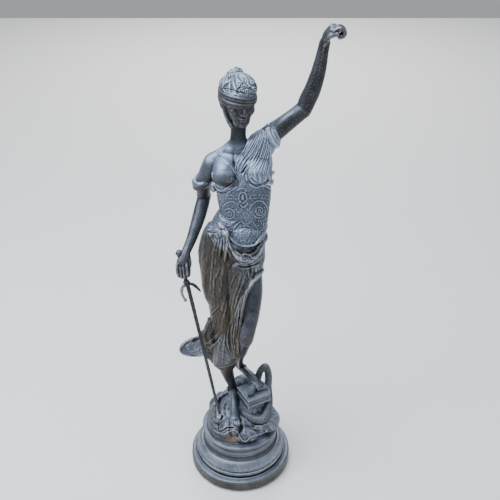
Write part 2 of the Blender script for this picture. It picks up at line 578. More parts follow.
def torso_strokes():
    """Relief of chest, cups and shoulder cloth, each line placed in the frame."""
    out = []
    # strap and its twin
    out.append(stroke(((214, 149), (220, 155), (231, 168), (238.2, 178), (240.5, 182)), 0.7, 2.4, 0.05))
    out.append(stroke(((219, 152.5), (225.5, 159), (234.5, 170), (240.5, 177)), 0.5, 1.7))
    out.append(stroke(((216.6, 150.8), (222.8, 157), (232.8, 169), (239.4, 178)), 0.5, -1.6, 0.1))
    # pleats fanned from the raised shoulder
    fans = (
        ((254, 133.5), (250.5, 137), (248, 142), (243.5, 151), (238.4, 158.5), (235.4, 165), (235.8, 171)),
        ((257.6, 133.5), (254, 141), (248, 151), (242, 159), (238.4, 166), (238.6, 171)),
        ((261, 131), (258, 141), (252.6, 151), (246.3, 159), (241.7, 166.5), (240, 172)),
        ((264.2, 128), (262, 141), (257.6, 151), (252.5, 160), (246, 168), (243, 173)),
        ((266.4, 127), (265, 141), (261.5, 152), (257.5, 162), (252, 170)),
        ((267.8, 128), (267.3, 142), (265, 152), (261.8, 162), (257.5, 172)),
        ((268.6, 133), (269.3, 146), (267.6, 158), (264.8, 168), (262.5, 175)),
        ((270, 140), (270.6, 150), (269.6, 162), (267.6, 172), (266, 179)),
    )
    t = np.linspace(0, 1, 22)
    lines = [curve(fan, 22) for fan in fans]
    for k, line in enumerate(lines):
        wave = np.column_stack((0.45 * np.sin(9 * t + 2.1 * k) * t, 0.3 * np.sin(7 * t + k) * t))
        out.append((line + wave, 0.75, 2.0 if k < 4 else 1.6, 0.2))
        if k < 7:
            for share, high in ((0.33, -1.5), (0.5, 1.2), (0.72, -1.3)):
                mid = line * (1 - share) + lines[k + 1] * share
                wave = np.column_stack((0.5 * np.sin(8 * t + 1.7 * k + 4 * share) * t, 0 * t))
                out.append((mid + wave, 0.5, high, 0.25))
    out.append(stroke(((251.5, 161), (247, 166), (243, 171), (240.6, 174)), 1.5, -4.6, 0.2))
    out.append(stroke(((252.6, 163.5), (248, 168), (244, 173), (242.6, 177)), 0.8, 2.2, 0.2))
    # edge of the cloth on the shoulder, and the open end of the sleeve
    out.append(stroke(((250.4, 134.4), (248, 137.4), (247, 143), (244.4, 150), (241, 156.4), (236.4, 163.4)), 0.6, 1.6, 0.1))
    out.append(stroke(((268.4, 122.5), (269, 129), (270.8, 136), (274, 142.6), (278.2, 147.4)), 0.8, 2.2, 0.1))
    out.append(stroke(((270.2, 121.8), (270.9, 128.6), (272.6, 135), (275.6, 141), (280, 145.6)), 0.8, -2.6, 0.1))
    # the bared cup, its rim and small pleats
    out.append(stroke(((212.4, 171), (213.6, 181), (216.4, 187.6), (221, 190.9), (227.3, 188), (233.4, 182.6), (235, 178.5)),
                      0.9, 3.0, 0.08, 22))
    out.append(stroke(((213, 186), (217, 191.3), (222, 193.4), (229, 190.6), (235, 186)), 0.8, -2.4, 0.2))
    for k in range(7):
        x = 226.0 + 1.5 * k
        out.append(stroke(((x + 0.4, 174 + 0.7 * k), (x + 1.3, 178.8 + 0.3 * k), (x - 1.2, 184.8 - 0.4 * k)), 0.5, 1.4, 0.3))
        out.append(stroke(((x + 1.1, 174.6 + 0.7 * k), (x + 2.0, 179 + 0.3 * k), (x - 0.4, 184.6 - 0.4 * k)), 0.4, -1.2, 0.3))
    # the other cup: hanging pleats over a scalloped rim
    out.append(stroke(((245.8, 174.5), (247.5, 180), (251, 185), (256.5, 187.7), (261.8, 185.6), (267, 187), (271, 190.6)),
                      0.85, 3.2, 0.05, 22))
    out.append(stroke(((250.5, 177.5), (254.5, 181.6), (259, 184), (264, 182.4), (268, 184)), 1.3, -3.0, 0.2))
    for k, (x, y) in enumerate(((252.5, 175), (255, 177), (257.5, 178.4), (260, 178.5), (262.5, 178), (265, 178.4), (267.5, 179), (269.6, 178))):
        out.append(stroke(((x - 0.8, y - 5), (x + 0.4, y), (x - 0.3, y + 5.5)), 0.55, 1.6 if k % 2 else -1.6, 0.3))
    out.append(stroke(((248, 172), (250, 178), (254, 184), (258, 187)), 0.6, 1.4, 0.3))
    # collar bones and the hollow between the breasts
    out.append(stroke(((212, 152.5), (222, 149), (231.5, 148.5)), 2.0, 0.6, 0.3))
    out.append(stroke(((235.5, 149), (241, 147.5), (246, 145)), 1.8, 0.5, 0.3))
    out.append(stroke(((233.2, 150), (233.6, 160), (235, 168)), 2.2, -1.6, 0.4))
    return out


def bodice_strokes():
    """Chased leafwork, mask, girdle and hem of the bodice, lines in the frame; worn low."""
    out = []
    # brooch of leaves
    for a in range(0, 360, 45):
        c, s = math.cos(math.radians(a)), math.sin(math.radians(a))
        out.append(stroke(((241.8 + 0.8 * c, 184 + 0.8 * s), (241.8 + 3.4 * c, 184 + 4.2 * s)), 0.85, 2.2, 0.3))
    out.append(stroke(((241.2, 183.6), (242.4, 184.4)), 1.3, 2.6, 0.6))
    out.append(stroke(((237.5, 191), (239.5, 188.5), (242, 188), (245, 188.8), (247, 191.5)), 0.8, 2.2))
    # girdle lines
    for y in (194.9, 198.2):
        out.append(stroke(((215.5, y + 1.2), (222, y + 1), (229, y + 0.2), (235, y + 0.6)), 0.55, 1.2))
        out.append(stroke(((250, y + 0.6), (256, y), (263, y + 0.2), (271, y + 1)), 0.55, 1.2))
    out.append(stroke(((232.5, 194.2), (234.5, 197.6), (237.6, 199.4)), 0.6, 1.6))
    out.append(stroke(((252.4, 194.2), (250.6, 197.6), (247.6, 199.4)), 0.6, 1.6))
    # mask in an oval: calm and generic
    oval = [(242.8 + 4.1 * math.cos(math.radians(a)), 197.6 + 5.2 * math.sin(math.radians(a))) for a in range(0, 361, 24)]
    out.append(stroke(oval, 0.8, 1.8, 0.01, 30))
    out.append(stroke(((242.8, 194.5), (242.8, 200.6)), 2.6, 2.4, 0.5))
    out.append(stroke(((242.8, 195.8), (242.8, 198.6)), 0.55, 1.2, 0.4))
    for s in (-1, 1):
        out.append(stroke(((242.8 + 0.7 * s, 195.9), (242.8 + 2.3 * s, 195.9)), 0.55, -1.4, 0.4))
        out.append(stroke(((242.8 + 3.4 * s, 201.4), (242.8 + 5.0 * s, 204), (242.8 + 3.8 * s, 206.4)), 0.6, 1.8))
        out.append(stroke(((242.8 + 4.6 * s, 193.4), (242.8 + 7.0 * s, 195.6), (242.8 + 7.2 * s, 199.4)), 0.6, 1.8))
    out.append(stroke(((241.6, 200.2), (244.0, 200.2)), 0.5, -1.2, 0.4))
    out.append(stroke(((239.4, 204), (241.5, 206), (243.5, 207.4), (245.6, 206), (247.6, 203.6)), 0.8, 2.4, 0.1))
    # pair of great scrolls
    out.append(stroke(((221.5, 210.5), (223.4, 206), (226.6, 203), (231.8, 201.8), (237, 204), (239.6, 208.6)), 0.75, 2.4, 0.1))
    out.append(scroll(229.6, 214.6, 6.4, 0.6, 1.9, -150, 0.75, 2.4))
    out.append(scroll(229.6, 214.6, 2.0, 0.3, 0.9, 30, 0.7, 1.8))
    out.append(stroke(((220, 213), (220.6, 218.4), (225, 222.3), (231, 223.4), (236, 221), (238.6, 217)), 0.7, 2.0, 0.1))
    out.append(stroke(((236, 209.5), (238.8, 212.5), (241.6, 211), (241, 207.8)), 0.65, 1.8, 0.1))
    out.append(stroke(((217, 205), (219.6, 209), (218.6, 214)), 0.65, 1.6, 0.1))
    out.append(stroke(((248.6, 212.5), (250.2, 208), (253, 203.6), (257.4, 201), (262.6, 201.6), (266.2, 205.8), (267, 209.4)),
                      0.75, 2.4, 0.1))
    out.append(scroll(259.8, 210.6, 5.6, 0.6, 1.9, -30, 0.75, 2.4))
    out.append(scroll(259.8, 210.6, 1.8, 0.3, 0.9, 150, 0.7, 1.8))
    out.append(stroke(((266.8, 209), (269, 206.4), (270.2, 202)), 0.65, 1.8, 0.1))
    out.append(stroke(((253, 215), (257, 217.6), (262, 217), (266, 213.6)), 0.7, 2.0, 0.1))
    out.append(stroke(((247, 209), (249.4, 212.4), (252, 211.4)), 0.6, 1.6, 0.1))
    out.append(stroke(((268.5, 212), (267, 217), (268.4, 222), (266.6, 227)), 0.65, 1.6, 0.1))
    out.append(stroke(((263, 221), (266, 218.6), (269, 219.4)), 0.6, 1.4, 0.1))
    # button and petals
    out.append(stroke(((245.0, 217.2), (245.8, 217.4)), 1.6, 3.0, 0.6))
    out.append(stroke(((242, 214.2), (245.4, 212.6), (248.8, 214.4)), 0.6, 1.6))
    out.append(stroke(((242.4, 221), (244, 223.4), (246.4, 224.2), (248.8, 223), (250.2, 220.6)), 0.7, 2.2))
    # lower scrolls within a frame
    out.append(stroke(((241.8, 220.6), (238.4, 223.6), (234.6, 227.6), (233.4, 232.4), (235.6, 237.4)), 0.75, 2.4, 0.1))
    out.append(stroke(((250.6, 220), (254.4, 224), (257.2, 229), (257.4, 234), (254.6, 238.6)), 0.75, 2.4, 0.1))
    out.append(stroke(((238, 229), (241.6, 226.2), (246.4, 225.6), (251, 227.6), (254, 231)), 0.65, 1.9, 0.1))
    out.append(stroke(((239.6, 232.6), (243.4, 229.4), (248, 229.2), (250.6, 232.2), (248.6, 235.6), (245, 235)), 0.65, 2.0, 0.1))
    out.append(scroll(251.6, 234.2, 3.4, 0.5, 1.4, 120, 0.65, 2.0))
    out.append(scroll(242.4, 238.0, 3.2, 0.5, 1.4, 0, 0.65, 2.0))
    out.append(scroll(262.2, 232.0, 4.0, 0.6, 1.6, -100, 0.65, 2.0))
    out.append(scroll(231.2, 229.6, 2.6, 0.4, 1.3, 100, 0.6, 1.8))
    out.append(scroll(265.4, 224.6, 2.8, 0.4, 1.4, 60, 0.6, 1.6))
    out.append(stroke(((258.6, 238.4), (261.6, 236.8), (265.6, 237.8)), 0.6, 1.6, 0.1))
    out.append(stroke(((227.6, 226), (230.6, 225.2), (232.4, 223.4)), 0.6, 1.6, 0.1))
    for x in (239, 243.4, 247.8, 252.2):
        out.append(stroke(((x, 242.4), (x + 1.2, 240.6), (x + 2.6, 242.6)), 0.5, 1.3, 0.2))
    # hem
    out.append(stroke(((229.5, 239), (233.6, 242.0), (237.4, 244.2), (242.8, 246.2), (249, 246.8), (254.6, 245.2), (259.6, 241.6),
                       (262.6, 238.2)), 0.6, 2.6, 0.05, 22))
    # small chasing between the scrolls
    rng = np.random.default_rng(12)
    for _ in range(120):
        x, y = rng.uniform(217, 270), rng.uniform(192, 243)
        if 238 < x < 248 and y < 204:
            continue
        r, a, b = rng.uniform(0.9, 2.0), rng.uniform(0, 6.28), rng.uniform(1.2, 3.2)
        t = np.linspace(a, a + b, 8)
        line = np.column_stack((x + r * np.cos(t), y + r * np.sin(t)))
        out.append((line, 0.45, rng.choice((-1.6, 1.3)), 0.25))
    return [(path, wide * 0.92, high * 0.72, taper) for path, wide, high, taper in out]


def back_strokes():
    """Plainer cloth of the back, lines in x and z."""
    out = family(((40, 975), (16, 930), (-30, 880), (-48, 850)), ((78, 958), (74, 915), (66, 870), (62, 850)), 9, 7, 2.6)
    out += family(((30, 968), (4, 925), (-38, 884)), ((62, 965), (52, 915), (20, 868)), 4, 5, 1.6)
    out.append(stroke(((-54, 858), (0, 852), (60, 858)), 4, 2.6, 0.05))
    for k in range(4):
        z = 836 - 24 * k
        for s in (-1, 1):
            x = 10 + s * (22 + 2 * k)
            out.append(scroll(x, z, 11, 1.5, 1.5, 90 + 90 * s, 2.6, 1.7))
            out.append(stroke(((10, z - 10), (10 + s * 10, z - 2), (x, z + 12)), 2.4, 1.6, 0.1))
    return out


def band_strokes():
    """Creases of the rolled band, lines in space."""
    out = []
    axis = unit(np.array((0.36, 0.25, -0.9)))
    u = unit(np.cross(axis, (0.0, 1.0, 0.0)))
    v = np.cross(axis, u)
    for k in range(5):
        angle = np.linspace(0.6 * k, 0.6 * k + 3.6, 22)
        rise = np.linspace(-9, 9, 22) * (1 if k % 2 else -1)
        at = np.array((-83.5, 22, 846)) + rise[:, None] * axis
        out.append((at + 26 * (np.cos(angle)[:, None] * u + np.sin(angle)[:, None] * v), 4.2, -1.6, 0.3))
    return out


def arms():
    """Bare forearm with the hand on the grip, and the raised arm with its curled hand."""
    parts = [
        tube(((-80, 26, 838, 17, 17), (-82, 44, 800, 16, 17), (-82, 46, 794, 15.8, 17))),
        tube(
            (
                (-79.5, 45, 800, 15.6, 17), (-86.5, 34, 775, 16.3, 17), (-95.5, 18, 748, 15.4, 16), (-109.5, -6, 712, 12.4, 12.5),
                (-121.5, -22, 688, 11, 9.5),
            ),
        ),
        tube(
            (
                (52, 4, 936, 27, 25), (70, 2, 962, 24, 23), (96, 0, 984, 20.5, 20), (126, 0, 1009, 18.5, 18),
                (141, 0, 1022, 18, 18),
            ),
            across=(0.7, 0, -0.7),
        ),
        tube(
            (
                (140.5, 1, 1019, 17.4, 18), (148.8, 0, 1042, 18.6, 17.5), (157.4, -3, 1064, 18.0, 16.5),
                (168.5, -6, 1106, 15.4, 13), (175, -8, 1147, 12.2, 9.5), (178, -10, 1166, 11.6, 8),
            ),
        ),
        # muscle and elbow
        tube(((78, -6, 976, 12, 10), (98, -8, 992, 15, 12), (122, -6, 1012, 12, 10)), across=(0.7, 0, -0.7)),
        blob(146, 8, 1014, 10, 9, 11),
        blob(-84, 55, 797, 9, 8, 11),
        # raised hand
        tube(((177, -9, 1162, 10.5, 8), (182, -13, 1180, 14, 9.5), (192, -17, 1193, 17, 9.5)), across=(0, 1, 0)),
        tube(((180, -22, 1174, 6, 6), (186, -31, 1182, 5.5, 5.5), (199, -36, 1186, 4.6, 4.6)), sides=24),
        # hand on the sword
        tube(((-120.5, -21, 692, 9.8, 9), (-126, -29, 678, 12.8, 10), (-131.5, -36, 662, 14.2, 11), (-132.5, -38, 648, 13.4, 10))),
        tube(((-118, -28, 676, 6, 6), (-115, -36, 660, 5.5, 5.5), (-119, -42, 644, 4.6, 4.6)), sides=24),
    ]
    for k in range(4):
        y = -32.5 + 9.0 * k
        lift = (0, 1.5, 1, -2)[k]
        parts.append(tube(
            (
                (193, y, 1191 + lift, 5.0, 5.0), (199, y - 0.5, 1195 + lift, 4.9, 4.9), (205.5, y - 1, 1195.5 + lift, 5.1, 5.1),
                (211, y - 1, 1193.5 + lift, 4.6, 4.6), (213.6, y - 1, 1188 + lift, 4.8, 4.8), (211.5, y, 1181.5 + lift, 4.4, 4.4),
                (204, y + 1, 1179 + lift, 4.4, 4.4),
            ),
            across=(0, 1, 0), sides=24, rings=40,
        ))
        x = -143.6 + 7.0 * k
        drop = (4, 0, 1, 5)[k]
        parts.append(tube(
            (
                (x + 1, -42, 657 + drop, 4.9, 4.9), (x + 1.6, -48, 649 + drop, 4.7, 4.7), (x + 2, -50, 640 + drop, 5.1, 5.1),
                (x + 3, -48.5, 632 + drop, 4.5, 4.5), (x + 4, -44, 627 + drop, 4.8, 4.8), (x + 5, -34, 626 + drop, 4.3, 4.3),
                (x + 5, -25, 632 + drop, 4.3, 4.3),
            ),
            sides=24, rings=40,
        ))
    thing = melted("arms", parts, 1.5, 3)
    grooves = []
    for k in range(3):
        y = -28 + 9.0 * k
        lift = (0.8, 1.2, -0.5)[k]
        grooves.append((curve(((186, y, 1199), (196, y, 1202 + lift), (206, y, 1202 + lift), (216, y, 1195 + lift),
                               (218.5, y, 1186), (210, y, 1176))), 3.4, -2.4, 0.12))
        x = -140.1 + 7.0 * k
        grooves.append((curve(((x, -45, 664), (x + 0.8, -52, 655), (x + 1.6, -56, 640), (x + 3, -52, 626),
                               (x + 4, -42, 620))), 3.2, -2.4, 0.12))
        grooves.append((np.array(((205, y - 4.4, 1201.5 + lift), (206.5, y - 4.4, 1201.5 + lift))), 4.2, 1.0, 0.5))
        grooves.append((np.array(((198, y - 8, 1200 + lift), (198.6, y, 1201 + lift), (198, y + 8, 1200 + lift))), 1.8, -0.8, 0.3))
    # veins and the wrist's folds
    grooves.append((curve(((-100, 4, 742), (-110, -14, 716), (-121, -31, 692), (-129, -45, 668))), 3.0, 0.7, 0.3))
    grooves.append((curve(((166, -20, 1096), (172, -20, 1130), (176, -18, 1160), (186, -26, 1194))), 3.0, 0.7, 0.3))
    carve(thing, grooves, "space")
    put(thing, points_of(thing) + normals_of(thing) * (0.1 * grain(points_of(thing), 6, 31))[:, None])
    return aged(thing, 6, 60)


def legs():
    """Bent left leg bare from the thigh, its foot on the book; the other leg below the hem and its foot."""
    parts = [
        tube(
            (
                (26, 0, 668, 30, 36), (26.5, -18, 625, 30, 33), (31, -38, 580, 26.5, 29.5), (27, -58, 532, 23.4, 26),
                (20, -75, 487, 19.5, 21), (17, -76, 466, 17.5, 19),
            ),
        ),
        tube(
            (
                (17, -74, 470, 17.5, 19), (12, -52, 434, 15, 18), (7, -24, 394, 14, 17.5), (2, 8, 350, 11, 13),
                (1, 34, 308, 8.5, 10), (2, 46, 288, 9, 10),
            ),
        ),
        blob(17, -75.5, 470, 18.1, 19.6, 20), blob(17, -85, 480, 11, 10.6, 16),
        tube(
            (
                (-7, 60, 275, 7, 8), (4, 46, 279, 9, 11), (22, 22, 280, 10.5, 11), (42, -4, 275, 14, 9),
                (53, -18, 271.5, 13, 6),
            ),
            across=(94, 71, 0),
        ),
        tube(
            (
                (-38, -2, 400, 24, 26), (-37, -2, 350, 21, 22), (-35, 2, 312, 18, 17.5), (-29, 8, 280, 14.5, 14.5),
                (-22.5, 13, 250, 11, 12.5), (-20.5, 15, 228, 10.5, 13),
            ),
        ),
        tube(
            (
                (-21, 26, 220, 9, 11), (-20, 8, 226, 10.5, 17), (-17, -20, 224, 10.5, 15), (-14.5, -55, 216, 11.5, 10),
                (-13.5, -80, 212, 12.5, 7.5),
            ),
        ),
        blob(14, 40, 290, 5, 5, 6), blob(-10, 50, 290, 5, 5, 6), blob(-33, 10, 236, 5, 6, 7), blob(-11, 14, 238, 5, 6, 7),
    ]
    # toes of both feet
    run = unit(np.array((11.0, -15.0, -2.0)))
    wide = unit(np.array((94.0, 71.0, 0.0)))
    for k in range(5):
        s = (k - 2) * 5.9
        root = np.array((54, -20, 270.5)) + wide * s
        tip = root + run * (12.5 - 1.5 * abs(k - 3.4)) + np.array((0, 0, -2.5))
        fat = 3.9 if k == 4 else 2.7
        parts.append(tube(((*root, fat, fat), (*(0.5 * (root + tip) + (0, 0, 1.6)), fat, fat), (*tip, fat * 0.9, fat * 0.8)),
                          sides=20, rings=16))
        s = (k - 2) * 5.1
        root = np.array((-13.4 + s, -82 + 1.2 * abs(k - 3), 211.5))
        tip = root + np.array((1.0 + s * 0.06, -17 + 1.6 * abs(k - 3.2), -3.0))
        fat = 3.5 if k == 4 else 2.5
        parts.append(tube(((*root, fat, fat), (*(0.5 * (root + tip) + (0, 0, 1.6)), fat, fat), (*tip, fat * 0.9, fat * 0.8)),
                          sides=20, rings=16))
    thing = melted("legs", parts, 1.62, 3)
    points = points_of(thing)
    soft = eased(thing, points, 22)
    share = np.clip((points[:, 2] - 300) / 20, 0, 1)[:, None]
    put(thing, points * (1 - share) + soft * share)
    points = points_of(thing)
    put(thing, points + normals_of(thing) * (0.08 * grain(points, 7, 41))[:, None])
    # dark lines between the toes
    lane = ((points - (54, -20, 270.5)) @ wide) / 5.9
    beyond = np.clip(((points - (54, -20, 270.5)) @ run - 1) / 2, 0, 1) * np.clip(2.2 - np.abs(lane), 0, 1) * (points[:, 2] > 255)
    line = np.exp(-(((lane - 0.5 - np.round(lane - 0.5)) / 0.16) ** 2)) * beyond
    lane = (points[:, 0] + 13.4 - 0.06 * (points[:, 1] + 82)) / 5.1
    beyond = np.clip((-84 - points[:, 1]) / 2, 0, 1) * np.clip(2.2 - np.abs(lane), 0, 1) * (points[:, 2] < 220)
    line = line + np.exp(-(((lane - 0.5 - np.round(lane - 0.5)) / 0.16) ** 2)) * beyond
    foot = np.clip((240 - points[:, 2]) / 14, 0, 1)
    return aged(thing, 6, 60, 1.0, -0.3 * line - 0.13 * foot)


SASH = (
    (221, 208), (212, 217), (205, 227), (203.5, 232.5), (212.5, 236), (215.5, 243), (222, 248), (228, 250), (233, 258),
    (238, 265), (246, 266.5), (255, 264.5), (262, 261), (267, 250), (267, 238), (262, 240), (260, 250), (256, 257),
    (250, 254.5), (246, 257), (240, 257), (235, 252), (231, 245), (229, 236), (227, 225),
)
RIGHT_HIP = (
    (239, 268), (246, 265.5), (262, 262), (268, 262), (268, 286), (257, 282.5), (251, 286), (245, 293), (243, 284), (238, 276),
)
SLIT_BAND = (
    (268, 281), (268, 286), (257, 285.5), (250.5, 289.5), (245.5, 296.5), (242, 308), (239, 325), (235, 327), (235.6, 314),
    (239, 300), (246, 289), (254, 281.5),
)
PLEATS = ((234, 316), (241, 316), (242.5, 330), (247, 346), (246, 353), (238, 353), (231, 350), (228, 340), (229, 328))
FLAP = ((218, 306), (222, 312), (219, 330), (210, 342), (204, 340), (201, 328), (204, 318))
LOWER_PANEL = ((227, 329), (221, 336), (216, 346), (213, 366), (233, 366), (230.5, 354), (227, 345))


def skirt():
    """Skirt drawn from the knot, slit over the bent leg, with sash, swag, turned flap and blown end."""
    parts = [
        tube(
            (
                (-10.5, 0, 714, 70.5, 53), (-16.5, 4, 690, 74.5, 55), (-24.2, 4, 655, 73.2, 57), (-32, 2, 622, 65, 56),
                (-37.2, 0, 590, 55.4, 53), (-37, -5, 560, 49.4, 51), (-35.4, -7, 545, 44.6, 50), (-34, -9, 530, 41.4, 48),
                (-33.5, -12, 490, 39, 45.5), (-33, -13, 440, 37, 43.5), (-34, -11, 400, 36.5, 41.5), (-35.5, -8, 362, 34, 37.5),
                (-38, -6, 340, 31, 33),
            ),
            sides=90, rings=150, ends=(0.85, 0.1),
        ),
        # right hip behind the slit
        tube(
            ((18, 8, 716, 46, 42), (19.5, 10, 680, 43, 46), (19.5, 14, 640, 42, 42), (16, 22, 600, 38, 32), (10, 28, 560, 36, 27)),
            sides=60, rings=50,
        ),
        tube(((41.5, -22, 700, 21, 26), (39.5, -26, 670, 23, 28), (34, -32, 646, 22, 24)), sides=50, ends=(1, 0.3)),
        # cloth between the legs
        tube(
            ((4, -30, 645, 36, 36), (0, -43, 590, 28, 32), (-3, -48, 545, 22, 29), (-6, -47, 495, 19, 27),
             (-9, -42, 440, 18, 24), (-12, -36, 395, 14, 20)),
            rings=80, ends=(1, 0.2),
        ),
        # cloth behind the bent leg
        tube(
            ((8, 24, 640, 52, 36), (0, 30, 570, 46, 27), (-8, 32, 500, 38, 22), (-18, 30, 430, 32, 18), (-28, 24, 360, 28, 15)),
            rings=80, ends=(1, 0.2),
        ),
        # rolled edge of the slit
        tube(
            ((60, -34, 642, 3, 3), (48, -57, 640, 3.2, 3.2), (33, -70, 630, 3.4, 3.4), (20, -78, 606, 3.4, 3.6),
             (11, -82, 572, 3.6, 4), (5, -82, 530, 3.6, 4.2), (0, -77, 486, 3.4, 4.4), (-3, -68, 446, 3.4, 4.2),
             (-4, -57, 412, 3.2, 3.6)),
            sides=20, rings=90,
        ),
        # sash: fan on the hip, knot, swag, belt behind
        tube(
            ((-26, -52, 748, 8, 8), (-38, -48, 748, 10, 7), (-49, -36, 741, 12, 7), (-59, -12, 731, 10, 7), (-59, 22, 722, 11, 7)),
            across=(0, 0, 1),
        ),
        tube(((-24, -53, 752, 7, 6), (-33, -49, 762, 7, 5), (-41, -40, 767, 5, 5)), across=(0, 0, 1)),
        blob(-27, -57, 751, 9, 8, 10),
        tube(((-35, -55, 757, 3, 3.5), (-27, -64, 755, 3.2, 3.6), (-19, -55, 749, 3, 3.5)), across=(0, 0, 1), sides=20),
        tube(((-30, -58, 744, 5, 5), (-38, -57, 722, 5.6, 4.6), (-42, -52, 700, 3.4, 3.2), (-44, -48, 684, 1.6, 1.8)), sides=24),
        tube(((-26, -58, 742, 5, 5), (-28, -60, 718, 5.4, 4.4), (-30, -57, 694, 3.2, 3.0), (-31, -54, 676, 1.6, 1.8)), sides=24),
        tube(
            (
                (-26, -60, 742, 3.4, 4), (-17, -64, 722, 3.4, 4.5), (-6, -67, 706, 4.5, 5), (8, -70, 696, 7.5, 7),
                (24, -71, 693, 8.5, 7.5), (38, -65, 695, 7, 7), (50, -48, 702, 5, 6), (58, -24, 710, 5, 5),
            ),
            across=(0, 0, 1), sides=36, rings=90,
        ),
        tube(((14, -68, 706, 2.6, 3), (26, -72, 704, 3, 3.4), (40, -62, 707, 3, 3.4), (50, -42, 716, 2.6, 3)), across=(0, 0, 1),
             sides=20),
        tube(
            (
                (58, -24, 710, 6, 6), (62, 4, 717, 6, 6), (44, 40, 722, 6, 6), (0, 52, 724, 6, 6), (-42, 46, 724, 7, 6),
                (-66, 20, 724, 8, 7),
            ),
            across=(0, 0, 1), sides=30, rings=90,
        ),
        tube(((57, -22, 716, 4, 4), (62, 6, 730, 4, 4), (65, 10, 742, 3, 3)), sides=20),
        # hem at the side, running to the blown end
        tube(((-98, 16, 366, 10, 4), (-80, 8, 354, 13, 5), (-62, 0, 344, 16, 8)), across=(0.3, 0, 0.9)),
        # flap turned out
        tube(((-54, -16, 502, 14, 8), (-70, -15, 479, 19, 8), (-80, -16, 450, 21, 7), (-77, -24, 426, 14, 6)),
             across=(0.5, 0.8, 0.1)),
        tube(((-52, -26, 500, 10, 10), (-66, -26, 474, 13, 9), (-72, -28, 446, 13, 8), (-68, -36, 428, 8, 6))),
        tube(((-58, -32, 506, 2.2, 2.4), (-82, -26, 470, 2.2, 2.4), (-94, -20, 444, 2.2, 2.4), (-89, -26, 422, 2.2, 2.4),
              (-78, -34, 411, 2.2, 2.4), (-62, -44, 428, 2.2, 2.4), (-48, -52, 456, 2.2, 2.4)), sides=16, rings=60),
        # blown end: thin sheet within a rolled rim
        tube(
            ((-62, 10, 386, 22, 9), (-90, 20, 379, 26, 4.4), (-118, 28, 366, 26, 3), (-140, 31, 356, 19, 2.6),
             (-153, 31, 351, 9, 2.6)),
            across=(0.2, 0.3, 0.9), rings=70, sides=60,
        ),
        tube(
            ((-72, 22, 404, 2.8, 3.0), (-94, 26, 402, 2.6, 2.8), (-112, 31, 395, 3.2, 3.6), (-126, 34, 386, 2.3, 2.5),
             (-141, 35, 377, 3.3, 3.6), (-154, 33, 367, 2.3, 2.5), (-158.5, 29, 358, 3.0, 3.4), (-157, 26, 350, 2.4, 2.6),
             (-148, 23, 343, 2.4, 2.6), (-130, 21, 338, 1.8, 2.0), (-110, 18, 341, 1.8, 2.0), (-94, 14, 350, 1.8, 2.0)),
            sides=20, rings=110,
        ),
    ]
    thing = melted("skirt", parts, 1.9, 2)
    points = points_of(thing)
    normals = normals_of(thing)
    # broad unevenness first, so that folds don't run dead even
    put(thing, points + normals * (1.1 * grain(points * (1, 1, 0.3), 30, 51))[:, None])
    carve(thing, skirt_strokes())
    carve(thing, skirt_back(), "back")
    points = points_of(thing)
    normals = normals_of(thing)
    q = framed(points)
    faced = np.clip(((unit(EYE - points) * normals).sum(1) + 0.1) * 5, 0, 1)
    ragged = 1.6 * grain(points * (1, 1, 0.3), 9, 55)
    below = np.clip((q[:, 0] - 232) / 3, 0, 1)
    pale = np.clip((inside(q, SASH) + ragged * (1 - below)) / (3.6 - 2.2 * below) + 0.5, 0, 1)
    pale = np.maximum(pale, 0.72 * np.clip(inside(q, RIGHT_HIP) / 2.5 + 0.5, 0, 1))
    pale = np.maximum(pale, 0.6 * np.clip(inside(q, SLIT_BAND) / 1.2 + 0.5, 0, 1))
    pale = np.maximum(pale, 0.35 * np.clip(inside(q, LOWER_PANEL) / 2.0 + 0.5, 0, 1))
    blown = np.clip((-88 - points[:, 0]) / 5, 0, 1) * (points[:, 2] < 412)
    deep = np.exp(-(((q[:, 0] - 194.6 + 0.6 * (q[:, 1] - 341)) / 3.2) ** 2) - ((q[:, 1] - 341) / 4.4) ** 2)
    pale = np.maximum(pale, blown * (0.64 - 0.6 * deep + 0.12 * grain(points, 14, 54)))
    keep(thing, "cloth", pale * faced)
    fine = 0.24 * grain(points * (1, 1, 0.2), 6, 52) + 0.2 * grain(points * (1, 1, 0.35), 3.9, 53)
    put(thing, points + normals * fine[:, None])
    # deep shade between the pleats and under the turned flap
    shade = 0.15 * np.clip(inside(q, PLEATS) / 2 + 0.5, 0, 1) + 0.08 * np.clip(inside(q, FLAP) / 2 + 0.5, 0, 1)
    return aged(thing, 5, 50, 1 - 0.6 * blown, -shade * faced)


